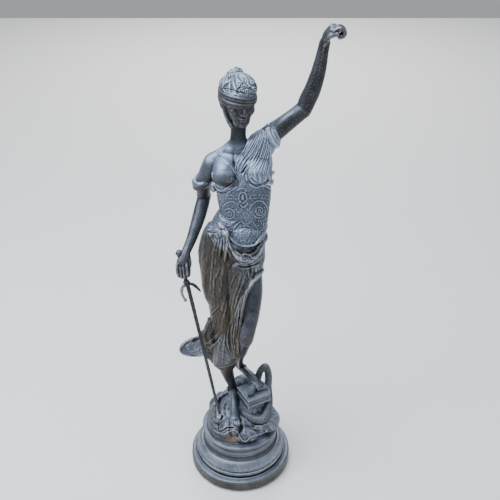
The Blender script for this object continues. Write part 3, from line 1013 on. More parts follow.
def skirt_strokes():
    """Folds of the front, each line placed in the frame."""
    out = []
    # fan of the sash, radiating from the knot
    for k, tip in enumerate(((217.4, 214.5), (213.4, 218.5), (210.2, 222.4), (207.8, 226.4), (206.8, 229.6))):
        out.append(stroke(((225.5 - 0.3 * k, 229), (219 - 0.8 * k, 223.6 + 1.2 * k), tip), 0.7, 1.9, 0.15))
        out.append(stroke(((224.0 - 0.3 * k, 229.8), (217.8 - 0.8 * k, 225.2 + 1.2 * k), (tip[0] - 0.4, tip[1] + 2.0)), 0.5, -1.6, 0.2))
    out.append(stroke(((206.6, 231.4), (212, 232.4), (218, 231.8)), 0.8, -3.4, 0.1))
    out.append(stroke(((209.4, 234.6), (211.6, 238.6), (213.8, 242)), 0.7, 2.2, 0.15))
    out.append(stroke(((213.4, 233.4), (216.6, 235), (218.8, 238.4), (216.6, 240)), 0.75, 2.4, 0.15))
    out.append(stroke(((215, 236.6), (216.6, 239.2), (218.6, 240.2)), 1.0, -3.0, 0.2))
    out.append(stroke(((221, 227), (224, 225.6), (227.5, 227.5), (227.5, 232), (224.5, 234.5), (221, 232.5)), 0.75, 2.2, 0.05))
    out.append(stroke(((222.4, 229.6), (224.8, 228.8), (225.4, 231.4)), 0.7, -2.0, 0.2))
    # cascade below the knot
    for a, b, high in (((219.6, 237), (215.6, 252), 1.6), ((222, 236), (217.6, 258), 2.0), ((224, 237), (222.6, 256), 1.6),
                       ((226, 238), (227.4, 254), 1.8), ((224.6, 242), (230.6, 258), 1.4)):
        m = ((a[0] + b[0]) / 2 + 0.6, (a[1] + b[1]) / 2)
        out.append(stroke((a, m, b), 0.85, high, 0.25))
        out.append(stroke(((a[0] + 1.1, a[1] + 1), (m[0] + 1.1, m[1]), (b[0] + 1.1, b[1] - 3)), 0.6, -1.5, 0.25))
    # bright rim of the swag, its gathered roll and the recess above it
    out.append(stroke(((226.6, 236.5), (229, 243), (231.4, 248.6), (234.6, 255), (238, 259.6), (241.4, 263.4)), 0.75, 3.2, 0.05, 24))
    out.append(stroke(((233.2, 248), (236.4, 254), (240, 257.4)), 1.6, -3.4, 0.2))
    out.append(stroke(((241, 263.6), (246, 263.8), (252, 262), (258.4, 259.8), (261.4, 255)), 0.9, 3.0, 0.05, 24))
    out.append(stroke(((249.4, 255), (252.4, 258.2), (256.4, 258.6), (260.2, 257.6)), 0.7, 2.6, 0.1))
    for k in range(4):
        out.append(stroke(((240.6 + 2.6 * k, 257.6 + 0.3 * k), (242.2 + 2.8 * k, 260.0), (244.6 + 3.0 * k, 261.8 - 0.5 * k)), 0.6, 1.5, 0.2))
        out.append(stroke(((242.0 + 2.6 * k, 257.4 + 0.3 * k), (243.6 + 2.8 * k, 259.6), (245.8 + 3.0 * k, 261.2 - 0.5 * k)), 0.45, -1.4, 0.2))
    out.append(stroke(((236, 247.6), (242, 251.4), (249, 252), (256, 249.4), (260, 245)), 2.4, -3.0, 0.2))
    out.append(stroke(((238, 252), (239.6, 255), (242.4, 256.2)), 0.7, 1.4, 0.2))
    out.append(stroke(((255.4, 248.6), (258.4, 246.4), (261.6, 243.4)), 0.6, 1.8, 0.2))
    out.append(stroke(((238.4, 265.8), (243, 267), (249, 266.6), (255, 265), (259.4, 262.6)), 1.3, -3.2, 0.15))
    # long soft folds from knot and waist down the near thigh
    sweeps = (
        (((209.4, 246), (205.4, 262), (203.8, 284), (206.4, 304)), 2.2, 1.5),
        (((215.6, 243.2), (212.8, 252.4), (211.8, 264), (210.6, 286), (212.6, 304)), 1.5, 2.2),
        (((219.5, 262), (217.4, 273.6), (213.8, 279.4), (213, 296), (215.6, 308)), 1.9, 1.9),
        (((222.8, 256), (222, 272), (219.4, 290), (216.8, 306)), 2.6, 1.5),
        (((229, 262), (228.6, 280), (224.4, 300), (219.6, 316)), 2.0, 1.9),
        (((236.4, 272.8), (233.4, 278.6), (229, 287.6), (226.6, 302), (223.4, 320)), 1.7, 2.3),
        (((240.6, 272), (238.4, 284), (233.6, 298), (230.4, 314)), 1.5, 1.9),
        (((246.4, 272), (242.6, 284), (238.4, 294), (234.4, 308)), 1.3, 1.6),
    )
    for path, wide, high in sweeps:
        out.append(stroke(path, wide * 1.2, high * 0.5, 0.25, 18))
        out.append((curve(path, 18) + (wide * 1.1, 0.2), wide * 0.8, -high * 0.45, 0.3))
    # small bright folds
    for path in (((236.4, 273.2), (234.8, 275.6), (233.6, 277.7)), ((232.7, 279.5), (230, 284.4), (228.2, 288.6)),
                 ((219.5, 267.7), (217.3, 274), (213.6, 278.6)), ((215.5, 243.2), (212.7, 252.3), (211.8, 263.2)),
                 ((211.4, 292), (213.8, 296.4), (212.8, 300.6)), ((231, 296), (229.6, 304), (226.4, 310))):
        out.append(stroke(path, 0.55, 1.4, 0.3))
    # seeded faint creases along the fall of the cloth
    rng = np.random.default_rng(33)
    for _ in range(70):
        s = rng.uniform(0, 1)
        y = rng.uniform(248, 318)
        x = 203 + s * 30 + 0.0 * y
        lean = -0.16 + 0.10 * s
        span = rng.uniform(5, 16)
        out.append(stroke(((x, y), (x + lean * span * 0.5 + rng.uniform(-0.6, 0.6), y + span * 0.5), (x + lean * span, y + span)),
                          rng.uniform(0.5, 0.9), rng.choice((-0.6, 0.45)), 0.35, 8))
    # V fold and drawn cloth over the bare thigh
    out.append(stroke(((250.4, 270), (251.4, 275.4), (253.8, 278.6), (256.6, 276.4), (258.4, 270)), 0.8, -2.8, 0.15))
    out.append(stroke(((252.2, 268), (253.2, 273), (254.4, 275.4), (255.8, 272.6), (256.6, 267)), 0.7, 1.9, 0.15))
    out.append(stroke(((247.6, 270), (249, 277), (253, 281), (258.6, 279), (261.4, 272)), 0.7, 1.8, 0.15))
    out += family(((261.5, 264), (262.4, 271), (263, 281)), ((265.2, 256), (265.6, 267), (265.6, 279)), 2, 0.6, 1.0)
    # edge of the slit, doubled, a dark band inside
    out.append(stroke(((264.5, 283.8), (261.6, 283), (257.3, 282.3), (250.9, 285.9), (245.5, 292.3), (241.8, 297.7), (238.8, 304),
                       (236.6, 311), (234.4, 318)), 0.7, 2.6, 0.05, 30))
    out.append(stroke(((254.6, 286), (250, 289.6), (246.4, 294.4), (243.4, 301), (241.8, 310), (240.4, 318), (239.6, 330)), 0.9, -3.4, 0.15, 24))
    out.append(stroke(((242.2, 300), (239.4, 307), (238, 316), (237.4, 325), (237, 334)), 1.0, 1.5, 0.2, 20))
    # narrow pleats between the legs
    out.append(stroke(((232.5, 318.5), (229.6, 325), (227.5, 334), (227.4, 343), (229.4, 350), (232, 354.4)), 0.7, 2.8, 0.08, 24))
    out.append(stroke(((226.2, 334), (225.8, 343), (227.6, 351)), 0.8, -2.0, 0.3))
    for path, wide, high in (
        (((234.2, 322), (232.6, 331), (232, 340), (233.8, 349)), 1.0, -4.6),
        (((232.4, 325.5), (230.6, 333.5), (230.2, 342)), 0.55, 1.6),
        (((237.3, 322), (236.4, 332.3), (236.8, 340), (239.6, 346.6)), 0.7, 2.4),
        (((238.8, 334), (240.2, 342), (243.4, 350.4)), 1.1, -4.6),
        (((234.6, 336), (234.2, 343), (236.4, 349.6)), 0.8, -3.2),
        (((241.6, 322), (240.8, 334), (242, 344), (245.2, 351.6)), 0.6, 1.6),
    ):
        out.append(stroke(path, wide, high, 0.2, 20))
    out += family(((214.5, 346), (212.6, 354), (211.8, 362)), ((224.6, 336), (223.0, 349), (222.4, 363)), 3, 1.6, 0.8)
    # hem
    out.append(stroke(((209.4, 364.4), (215, 366), (221, 367), (227, 366.2), (232.4, 363.8), (238.4, 357.4), (244.6, 353.2)),
                      0.7, 2.0, 0.05, 20))
    out.append(stroke(((236.4, 351.6), (239.4, 354.6), (243, 354.4)), 0.6, 1.8, 0.2))
    # the turned flap
    out.append(stroke(((218.6, 305.6), (214.6, 310.6), (210, 315.4), (203.6, 321.4)), 0.8, 2.8, 0.1))
    out.append(stroke(((220.4, 309), (215.6, 314), (212, 318)), 0.6, 1.6, 0.2))
    out.append(stroke(((201.8, 330), (203.2, 337), (206.2, 343.4), (210.4, 341), (214.6, 337), (219.4, 331.4)), 0.7, 2.8, 0.05, 20))
    out.append(stroke(((213.4, 322), (212.4, 328), (210, 334.4)), 0.6, 1.5, 0.2))
    out.append(stroke(((216.6, 317), (216, 325), (212.6, 334)), 1.2, -1.8, 0.3))
    out.append(stroke(((208.4, 345.4), (213.8, 342.2), (219.8, 335.2)), 1.1, -3.6, 0.2))
    out.append(stroke(((206.6, 347.4), (207.4, 350), (208.4, 352.4)), 0.6, 1.8, 0.2))
    # hollow and streaks of the blown end
    out.append(stroke(((200.0, 337.4), (195.4, 339.0), (191.6, 343.6)), 2.4, -2.6, 0.3))
    out.append(stroke(((198.6, 340.6), (195.6, 346), (194.6, 350.4)), 0.8, 1.6, 0.3))
    out.append(stroke(((192.4, 338.8), (190.4, 343), (185.6, 347.6)), 0.9, 1.5, 0.3))
    out.append(stroke(((200.4, 333.6), (192.4, 337.2), (185.4, 342.2), (180.6, 348)), 0.7, 1.8, 0.1))
    out.append(stroke(((202, 347), (195.4, 350.6), (189, 352.8)), 1.2, 1.4, 0.3))
    out.append(stroke(((202.6, 352), (196.4, 355.2), (189, 355.4)), 0.9, -1.4, 0.3))
    out.append(stroke(((187.6, 343), (186.6, 347), (189.6, 350.4)), 0.9, 1.4, 0.3))
    return out


def skirt_back():
    """Long plain folds behind, lines in x and z."""
    out = []
    for k, s in enumerate(np.linspace(0.0, 1.0, 12)):
        x = -84 + 138 * s
        low = -70 + 74 * s
        bend = 5 * math.sin(2.1 * k)
        out.append(stroke(((x, 706), (x + bend * 0.4, 620), (0.5 * (x + low) + bend, 520), (low, 372)), 7.5, 4.6, 0.12, 20))
        out.append(stroke(((x + 6.4, 690), (x + 6 + bend * 0.4, 610), (0.5 * (x + low) + bend + 5.6, 515), (low + 4, 380)),
                          4.0, -2.6, 0.2, 20))
    return out


BOOK_AT = np.array((41.0, -23.0, 249.0))
BOOK_TURN = 28.0
BOOK_L = 76.0
BOOK_W = 64.0
BOOK_T = 25.0


def rock():
    """Rock with ledges and clefts under the feet and the book."""
    parts = [
        tube(
            ((2, 0, PLINTH_TOP - 4, 96, 96), (4, -6, 150, 90, 87), (9, -16, 174, 79, 65), (8, -22, 187, 66, 53), (9, -24, 193, 52, 46)),
            sides=90, rings=40, ends=(0.02, 0.15), square=2.2,
        ),
        blob(-49, -26, 176, 27, 36, 19, (0, 0, 18)),
        blob(-30, -48, 163, 26, 42, 28, (0, 0, -10)),
        blob(-14, -54, 177, 17, 43, 22, (4, 0, 0)),
        blob(34, 2, 196, 52, 50, 40, (0, 0, 24)),
        blob(63, -20, 160, 43, 50, 33, (0, 0, 30)),
        blob(12, 50, 212, 38, 30, 34, (0, 0, 10)),
        blob(14, -66, 150, 36, 28, 26, (0, 0, 8)),
        blob(52, -52, 158, 24, 20, 20, (0, 0, 20)),
        blob(-60, 22, 162, 25, 30, 29, (0, 0, 40)),
        blob(-50, 50, 156, 26, 26, 26),
        blob(40, 66, 158, 28, 20, 30),
        blob(-4, 78, 150, 26, 14, 24),
    ]
    thing = melted("rock", parts, 1.75, 3)
    points = points_of(thing)
    normals = normals_of(thing)
    above = np.clip((points[:, 2] - 136) / 14, 0, 1)
    shape = 1.3 * grain(points, 42, 61) + 0.5 * grain(points, 18, 62)
    # worn smooth where the channel runs down the front
    near = np.clip(1 - np.abs(framed(points)[:, 0] - 227) / 9, 0, 1) * (points[:, 1] < -20)
    put(thing, points + normals * (above * shape * (1 - 0.8 * near))[:, None])
    out = [
        # deep hole, hollow and channel beside the leg
        stroke(((222.8, 415), (221.8, 418), (220.6, 420.8)), 1.3, -5.0, 0.3),
        stroke(((219.4, 396.6), (220.4, 400.6), (219.6, 404)), 1.7, -3.0, 0.3),
        stroke(((225.4, 401), (224.2, 410), (225.8, 420)), 2.8, -1.6, 0.3),
        stroke(((216.4, 404), (217.2, 413), (217.8, 422)), 1.5, 1.8, 0.3),
        stroke(((213.4, 404), (212.4, 412), (212.8, 420)), 1.4, -1.4, 0.3),
        # cleft under the toes, and the wavy ledge over the rim of the plinth
        stroke(((218.4, 431.4), (222.6, 430.6), (225.6, 428.4), (229.6, 427.8), (234.6, 427.6)), 1.1, -4.4, 0.15),
        stroke(((213, 429), (218.6, 433), (224, 434), (229, 431.8), (233.6, 430.4), (237.6, 432.2), (240.6, 438), (244, 441.2),
                (247.6, 440), (250, 437.4), (254, 435.4), (260, 434), (268, 430.6)), 1.1, 2.4, 0.05, 40),
        stroke(((223.4, 439), (228, 436.6), (233.4, 434.8), (238.4, 437.6)), 1.8, -2.6, 0.2),
        stroke(((242, 443), (247.6, 442.4), (251.4, 439.6), (258, 437.6), (268, 434)), 1.1, -2.0, 0.15),
        # long smooth slope and the worn right shoulder
        stroke(((241.6, 414), (243.4, 424), (244.4, 436)), 2.4, 1.6, 0.3),
        stroke(((238.8, 408), (244, 414.6), (250.6, 421.6), (258, 424.6), (268, 422.6)), 1.4, -2.8, 0.2),
        stroke(((252, 428), (257, 431), (262, 430)), 1.6, -1.2, 0.3),
    ]
    carve(thing, out)
    # clefts behind, in x and z
    carve(thing, [
        stroke(((-70, 200), (-40, 178), (-30, 150)), 7, -4, 0.2), stroke(((-10, 236), (-14, 200), (6, 160)), 8, -4.5, 0.2),
        stroke(((44, 228), (36, 196), (52, 158)), 7, -4, 0.2), stroke(((70, 196), (72, 170), (84, 150)), 6, -3, 0.2),
        stroke(((-60, 150), (-20, 156), (30, 148), (70, 154)), 6, -3, 0.2, 20), stroke(((-30, 214), (10, 222), (40, 206)), 6, 3, 0.2),
    ], "back")
    points = points_of(thing)
    normals = normals_of(thing)
    above = np.clip((points[:, 2] - PLINTH_TOP - 1.5) / 4, 0, 1)
    fine = 0.22 * grain(points, 9, 63) + 0.2 * grain(points, 4.4, 64)
    points = points + normals * (above * fine)[:, None]
    points[:, 2] = np.maximum(points[:, 2], PLINTH_TOP + 0.3 + 1.6 * np.clip(normals[:, 2] * 2 + 0.6, 0, 1))
    # kept within the plinth's rim low down
    reach = np.linalg.norm(points[:, :2], axis=1)
    most = 99.5 + 4.0 * np.clip((points[:, 2] - 132) / 10, 0, 1)
    low = np.clip((150 - points[:, 2]) / 20, 0, 1)
    share = np.where(reach > most, 1 + (most / np.maximum(reach, 1) - 1) * low, 1.0)
    points[:, :2] *= share[:, None]
    put(thing, points)
    q = framed(points)
    patch = 1.0 - np.hypot((q[:, 0] - 232.0) / 8.4, (q[:, 1] - 439.0) / 4.8)
    patch = patch + 0.35 * grain(points, 6, 65)
    keep(thing, "spot", np.clip(patch * 1.6, 0, 1) * (points[:, 1] < 0))
    keep(thing, "cloth", np.clip(0.42 + points[:, 0] / 90, 0, 1))
    low = np.clip((152 - points[:, 2]) / 10, 0, 1) * np.clip((-30 - points[:, 1]) / 10, 0, 1)
    return aged(thing, 6, 60, np.where(low > 0, 1 - 0.8 * low, 1.0))


def slab(name, outline, low, high, bevel):
    """An upright slab over an outline, its rim rounded by a quarter circle at both faces."""
    outline = np.asarray(outline, float)
    ahead = np.roll(outline, -1, 0) - outline
    back = outline - np.roll(outline, 1, 0)
    way = unit(unit(ahead) + unit(back))
    inward = np.stack((-way[:, 1], way[:, 0]), -1)
    rows = []
    for t in np.linspace(0, math.pi / 2, 5):
        rows.append((bevel * (1 - math.sin(t)), low + bevel * (1 - math.cos(t))))
    for t in np.linspace(math.pi / 2, 0, 5):
        rows.append((bevel * (1 - math.sin(t)), high - bevel * (1 - math.cos(t))))
    points = np.array([np.column_stack((outline + inward * off, np.full(len(outline), z))) for off, z in rows])
    return skin(points)


def book():
    """Closed book: two covers, a rounded back, and a block of pages with fine leaves."""
    h = BOOK_L / 2
    w = BOOK_W / 2
    t = BOOK_T / 2
    turn = np.linspace(-math.pi / 2, math.pi / 2, 25)

    def outline(inset, left):
        """Straight sides with one end rounded, points evenly spaced."""
        r = w - inset
        end = np.column_stack((h - 13 + 13 * np.cos(turn) - inset, r * np.sin(turn)))
        top = np.column_stack((np.linspace(h - 14, left, 24)[1:], np.full(23, r)))
        side = np.column_stack((np.full(20, left), np.linspace(r, -r, 22)[1:-1]))
        low = np.column_stack((np.linspace(left, h - 14, 24)[:-1], np.full(23, -r)))
        return np.vstack((end, top, side, low))

    cover = outline(0.0, -h)
    pieces = [slab("cover", cover, t - 4.4, t, 1.3), slab("cover", cover, -t, -t + 4.4, 1.3)]
    pages = outline(3.2, -h + 3.0)
    # each level of the block steps in and out like leaves
    levels = np.linspace(-t + 3.0, t - 3.0, 61)
    inset = 0.5 * np.cos(np.arange(61) * math.pi) + 0.5 + 0.3 * np.cos(np.arange(61) * 2.1)
    middle = pages.mean(0)
    stack = np.array([
        np.column_stack((middle + (pages - middle) * (1 - 0.022 * s), np.full(len(pages), z))) for s, z in zip(inset, levels)
    ])
    pieces.append(skin(stack))
    # raised frame on the cover
    frame_path = outline(7.0, -h + 8.0)
    rows = np.column_stack((frame_path, np.full(len(frame_path), t + 0.0), np.full(len(frame_path), 1.5), np.full(len(frame_path), 0.9)))
    pieces.append(tube(np.vstack((rows, rows[:3])), across=(0.7, 0.7, 0.02), sides=10, rings=260, cap=2))
    # bands across the back of the book
    for x in (-h + 10, -h + 24):
        pieces.append(tube(((x, -w, t - 1.0, 1.6, 1.1), (x, w, t - 1.0, 1.6, 1.1)), sides=12, rings=30, cap=2))
    pieces.append(tube(((-h + 0.4, -w + 1.6, -t + 2.2, 1.6, t - 2.0), (-h + 0.4, w - 1.6, -t + 2.2, 1.6, t - 2.0)), sides=24, rings=20, cap=2))
    verts = []
    tris = []
    start = 0
    for points, faces in pieces:
        verts.append(moved((points, faces), (0, 0, BOOK_TURN), BOOK_AT)[0])
        tris.append(faces + start)
        start += len(points)
    thing = mesh_of("book", np.concatenate(verts), np.concatenate(tris))
    melt = thing.modifiers.new("melt", "REMESH")
    melt.mode = "VOXEL"
    melt.voxel_size = 1.0 * MM
    melt.use_smooth_shade = True
    ease = thing.modifiers.new("ease", "SMOOTH")
    ease.factor = 0.5
    ease.iterations = 1
    graph = bpy.context.evaluated_depsgraph_get()
    mesh = bpy.data.meshes.new_from_object(thing.evaluated_get(graph))
    thing.modifiers.clear()
    thing.data = mesh
    put(thing, points_of(thing) + normals_of(thing) * (0.14 * grain(points_of(thing), 6, 71))[:, None])
    keep(thing, "cloth", np.ones(len(thing.data.vertices)))
    return aged(thing, 5, 60)


SNAKE = (
    (-14, 6, 196, 7, 7), (-8, -14, 197, 11, 10.5), (10, -32, 192, 14, 12.5), (34, -48, 187, 15, 13.5), (60, -54, 190, 14.5, 13),
    (72, -42, 200, 12.4, 12), (78, -18, 220, 10.4, 10.4), (76, 8, 244, 9.8, 9.8), (76.5, 19, 278, 9.4, 9.4),
    (68, 22, 303, 9.0, 9.0), (55, 20, 290, 8.8, 8.8), (48, 15, 268, 9.2, 8.6), (42, -4, 268, 8.5, 8), (38, -20, 268, 8.4, 7.2),
    (33.5, -31, 271, 12.4, 8.6), (28.5, -42, 270, 11.4, 7.6), (24.5, -51, 267.4, 6.4, 4.8),
)


def snake():
    """The snake's body swept along its path, scales as a diagonal lattice of raised pads, belly in bands.

    Around by u and along by v, the lattice is the smaller of two folded cosines of the diagonals; the
    underside has bands across it; the last part is the flat head with brows.
    """
    rings, sides = 560, 64
    keys = along(np.array(SNAKE, float), rings)
    path = keys[:, :3]
    run = unit(np.gradient(path, axis=0))
    side = unit(np.cross(run, np.array((0.0, 0.0, 1.0))))
    # carried steadily so that it never flips
    for k in range(1, rings):
        s = side[k - 1] - run[k] * (side[k - 1] @ run[k])
        side[k] = s / np.linalg.norm(s)
    up = np.cross(side, run)
    level = np.linspace(0, 1, rings)
    u = np.linspace(0.0, 2 * math.pi, sides, endpoint=False)
    steps = np.concatenate(([0.0], np.cumsum(np.linalg.norm(np.diff(path, axis=0), axis=1))))
    v = steps / 5.2
    a = u[None] * 9 / (2 * math.pi) + v[:, None]
    b = -u[None] * 9 / (2 * math.pi) + v[:, None]
    lattice = np.minimum(np.abs(np.sin(math.pi * a)), np.abs(np.sin(math.pi * b)))
    pad = np.clip(lattice * 1.9, 0, 1) ** 0.8
    bands = np.clip(np.abs(np.sin(math.pi * v[:, None] * 1.3)) * 2.2, 0, 1) ** 0.7
    under = np.clip((-np.sin(u)[None] - 0.45) * 3, 0, 1)
    body = np.clip((level - 0.02) / 0.05, 0, 1)[:, None] * np.clip((0.93 - level) / 0.03, 0.45, 1)[:, None]
    swell = (pad * (1 - under) + bands * under - 0.7) * 1.5 * body
    head_part = np.clip((level - 0.93) / 0.02, 0, 1)[:, None]
    brow = 1.1 * np.exp(-(((level[:, None] - 0.955) / 0.012) ** 2)) * np.exp(-((np.abs(np.cos(u)[None]) - 0.62) / 0.2) ** 2) * (np.sin(u)[None] > 0)
    swell = swell + head_part * brow
    wide = keys[:, 3:4] + swell
    deep = keys[:, 4:5] + swell
    # the tail and the nose close to a point
    close = np.sqrt(np.clip(level / 0.012, 0.002, 1) * np.clip((1 - level) / 0.008, 0.002, 1))[:, None]
    points = path[:, None] + side[:, None] * (wide * close * np.cos(u))[..., None] + up[:, None] * (deep * close * np.sin(u))[..., None]
    # the head's plates, as bumps
    lump = grain(points.reshape(-1, 3), 5.5, 91).reshape(swell.shape) * head_part * close
    points = points + 0.75 * (side[:, None] * (lump * np.cos(u))[..., None] + up[:, None] * (lump * np.sin(u))[..., None])
    swell = swell + 0.55 * lump
    verts, tris = skin(points)
    thing = mesh_of("snake", verts, tris)
    thing.data.polygons.foreach_set("use_smooth", np.ones(len(thing.data.polygons), bool))
    keep(thing, "edge", np.concatenate(((np.where(swell < -0.15, swell * 0.6, swell * 0.35) * np.maximum(body, head_part)).ravel() - 0.02, (0, 0))))
    keep(thing, "hollow", np.concatenate((((np.broadcast_to(np.sin(u)[None], swell.shape)) * 2.5).ravel(), (0, 0))))
    return thing


SWORD_TOP = np.array((-137.8, -29.0, 679.0))
SWORD_TIP = np.array((-53.3, -50.0, 196.0))
GRIP_L = 74.0


def sword():
    """Ringed pommel, wound grip, curled guard and a blade of flat diamond section."""
    run = unit(SWORD_TIP - SWORD_TOP)
    length = float(np.linalg.norm(SWORD_TIP - SWORD_TOP))
    side = unit(np.array((1.0, 0.0, 0.0)) - run[0] * run)
    front = np.cross(run, side)
    g = GRIP_L

    def at(s, x=0.0, y=0.0):
        return SWORD_TOP + run * s + side * x + front * y

    def rows(*keys):
        return [(*at(s, x, y), a, b) for s, x, y, a, b in keys]

    parts = [
        tube(rows((-2, 0, 0, 4.6, 4.6), (g + 4, 0, 0, 4.6, 4.6)), ends=(0.1, 0.1), cap=2),
        blob(*at(-5.2), 8.3, 8.3, 8.1),
        blob(*at(-12.2), 3.4, 3.4, 3.0),
        *ring(at(-5.2), run, 7.5, 1.7, sides=14, count=30),
        *ring(at(2.8), run, 5.2, 1.5, sides=14, count=30),
        tube(rows((g - 2, 0, 0, 8.4, 6.4), (g + 5, 0, 0, 7.9, 6.1)), ends=(0.4, 0.4), cap=3),
        *ring(at(g - 3), run, 6.0, 1.5, sides=14, count=30),
        tube(rows((g + 6, 2, 0, 4.0, 3.7), (g + 7, 11, 0, 3.9, 3.7), (g + 15, 19, 0, 4.1, 3.7), (g + 25, 25, 0, 3.1, 3.1),
                  (g + 32, 28, 0, 1.7, 1.7)), across=tuple(run), sides=24, rings=36),
        tube(rows((g + 6, -2, 0, 4.1, 3.7), (g + 11, -10, 0, 4.1, 3.7), (g + 19, -15.5, 0, 4.1, 3.5), (g + 33, -17.5, 0, 3.5, 3.3),
                  (g + 45, -14.5, 0, 3.0, 3.0)), across=tuple(run), sides=24, rings=36),
        blob(*at(g + 49, -13.5), 4.6, 4.6, 4.6, sides=30, rings=20),
        tube(rows((g + 2, 1.2, 0, 5.6, 2.2), (g + 70, 1.3, 0, 5.3, 2.1), (length * 0.6, 0.6, 0, 5.0, 2.0),
                  (length * 0.85, 0, 0, 4.5, 1.8), (length - 5, 0, 0, 3.2, 1.5)), sides=40, rings=90, square=1.25),
    ]
    for k in range(9):
        parts += ring(at(8 + k * 7.4), run, 4.3, 0.9, sides=10, count=24)
    thing = melted("cast_sword", parts, 0.85, 1)
    points = points_of(thing)
    off = (points - SWORD_TOP) @ side
    down = (points - SWORD_TOP) @ run
    keep(thing, "spot", np.clip((-3.5 - off) / 4, 0, 1) * np.clip((down - g - 1) / 4, 0, 1) * (down < g + 60))
    return aged(thing, 4, 40)


def plinth():
    """Turned plinth: the profile swept about Z, its swelling dimpled by seeded waves of the place."""
    def arc(r, z, radius, start, stop, count):
        a = np.radians(np.linspace(start, stop, count))
        return np.column_stack((r + radius * np.cos(a), z + radius * np.sin(a)))

    def bar(a, b, count):
        return np.linspace(a, b, count)[:-1]

    curves = [
        bar((0.5, 0.15), (124, 0.15), 14), bar((124, 0.15), (126.6, 0.5), 3),
        bar((126.6, 0.5), (134.8, 2.8), 6), arc(130.6, 9.0, 6.2, -42, 0, 7), bar((136.9, 10.5), (137.1, 29.0), 8),
        arc(131.9, 30.3, 5.1, 5, 88, 12), bar((131.4, 35.4), (124.5, 35.7), 6), arc(122.6, 35.0, 1.7, 40, 160, 6),
        bar((120.9, 34.6), (119.0, 34.4), 3), bar((118.6, 35.0), (118.2, 40.2), 5), bar((118.6, 41.0), (119.9, 42.6), 3),
        bar((120.3, 43.6), (120.4, 50.0), 6), bar((120.1, 51.2), (118.6, 52.4), 3), bar((118.0, 53.2), (117.9, 55.2), 3),
        arc(95.4, 60.2, 24.0, -9, 62, 40), arc(110.4, 88.0, 11.6, 232, 150, 14),
        bar((100.0, 96.0), (99.2, 104.0), 6), arc(105.6, 108.6, 8.2, 205, 140, 8), bar((101.0, 117.4), (102.9, 120.6), 4),
        arc(101.2, 123.4, 2.6, -40, 62, 7), bar((100.6, 126.6), (96.6, 127.3), 4), arc(95.0, 126.2, 1.2, 70, 95, 3),
        bar((93.0, 127.3), (0.5, 127.3), 16),
    ]
    profile = np.vstack(curves)
    count = 288
    angle = np.linspace(0, 2 * math.pi, count, endpoint=False)
    r = np.repeat(profile[:, :1], count, 1)
    z = np.repeat(profile[:, 1:2], count, 1)
    # shallow worn dimples on the swelling
    on = np.exp(-(((z - 60) / 19) ** 4)) * (r > 105)
    place = np.stack((r * np.cos(angle), r * np.sin(angle), z), -1).reshape(-1, 3)
    swell = on * (0.16 * grain(place, 10, 82) + 0.10 * grain(place, 5.5, 83)).reshape(r.shape)
    p = np.stack((r * np.cos(angle), r * np.sin(angle), z), -1)
    uneven = 0.28 * grain(p.reshape(-1, 3), 30, 81).reshape(r.shape) * np.clip((r - 60) / 30, 0, 1) * np.clip(z / 8, 0, 1)
    uneven = uneven * np.where((z > 126.5) & (r < 98), 0.0, 1.0)
    r2 = r + swell + uneven
    r2 = np.minimum(r2, 137.4)
    p = np.stack((r2 * np.cos(angle), r2 * np.sin(angle), z), -1)
    verts, tris = skin(p)
    thing = mesh_of("turned_plinth", verts, tris)
    thing.data.polygons.foreach_set("use_smooth", np.ones(len(thing.data.polygons), bool))
    verts = points_of(thing)
    reach = np.linalg.norm(verts[:, :2], axis=1)
    level = verts[:, 2]
    bend = np.zeros(len(profile))
    way = unit(np.gradient(profile, axis=0))
    bend[1:-1] = (way[:-2, 0] * way[2:, 1] - way[:-2, 1] * way[2:, 0])
    edge = np.repeat(np.clip(bend, -0.35, 0.8)[:, None], count, 1) * 0.6 + 0.55 * swell
    edge = np.where(z > 123.5, np.minimum(edge, 0.04), edge) + 0.24 * np.exp(-(((z - 121.5) / 1.6) ** 2))
    edge = edge - (0.30 * np.exp(-(((z - 54.6) / 1.6) ** 2)) + 0.27 * np.exp(-(((z - 38.5) / 2.4) ** 2))) * (r > 114)
    keep(thing, "edge", np.concatenate((edge.ravel(), (0, 0))))
    wall = np.clip((reach - 130.6) / 2.4, 0, 1) * np.clip((36 - level) / 2, 0, 1)
    neck = np.exp(-(((level - 93) / 13) ** 2)) * np.clip((114 - reach) / 5, 0, 1)
    keep(thing, "cloth", np.clip(1 - wall - 0.7 * neck - 0.25 * (level > 122), 0, 1))
    keep(thing, "hollow", -1.2 * neck - 1.5 * np.exp(-(((reach - 119.3) / 1.4) ** 2)) * (level > 28) * (level < 40))
    return thing


# Materials


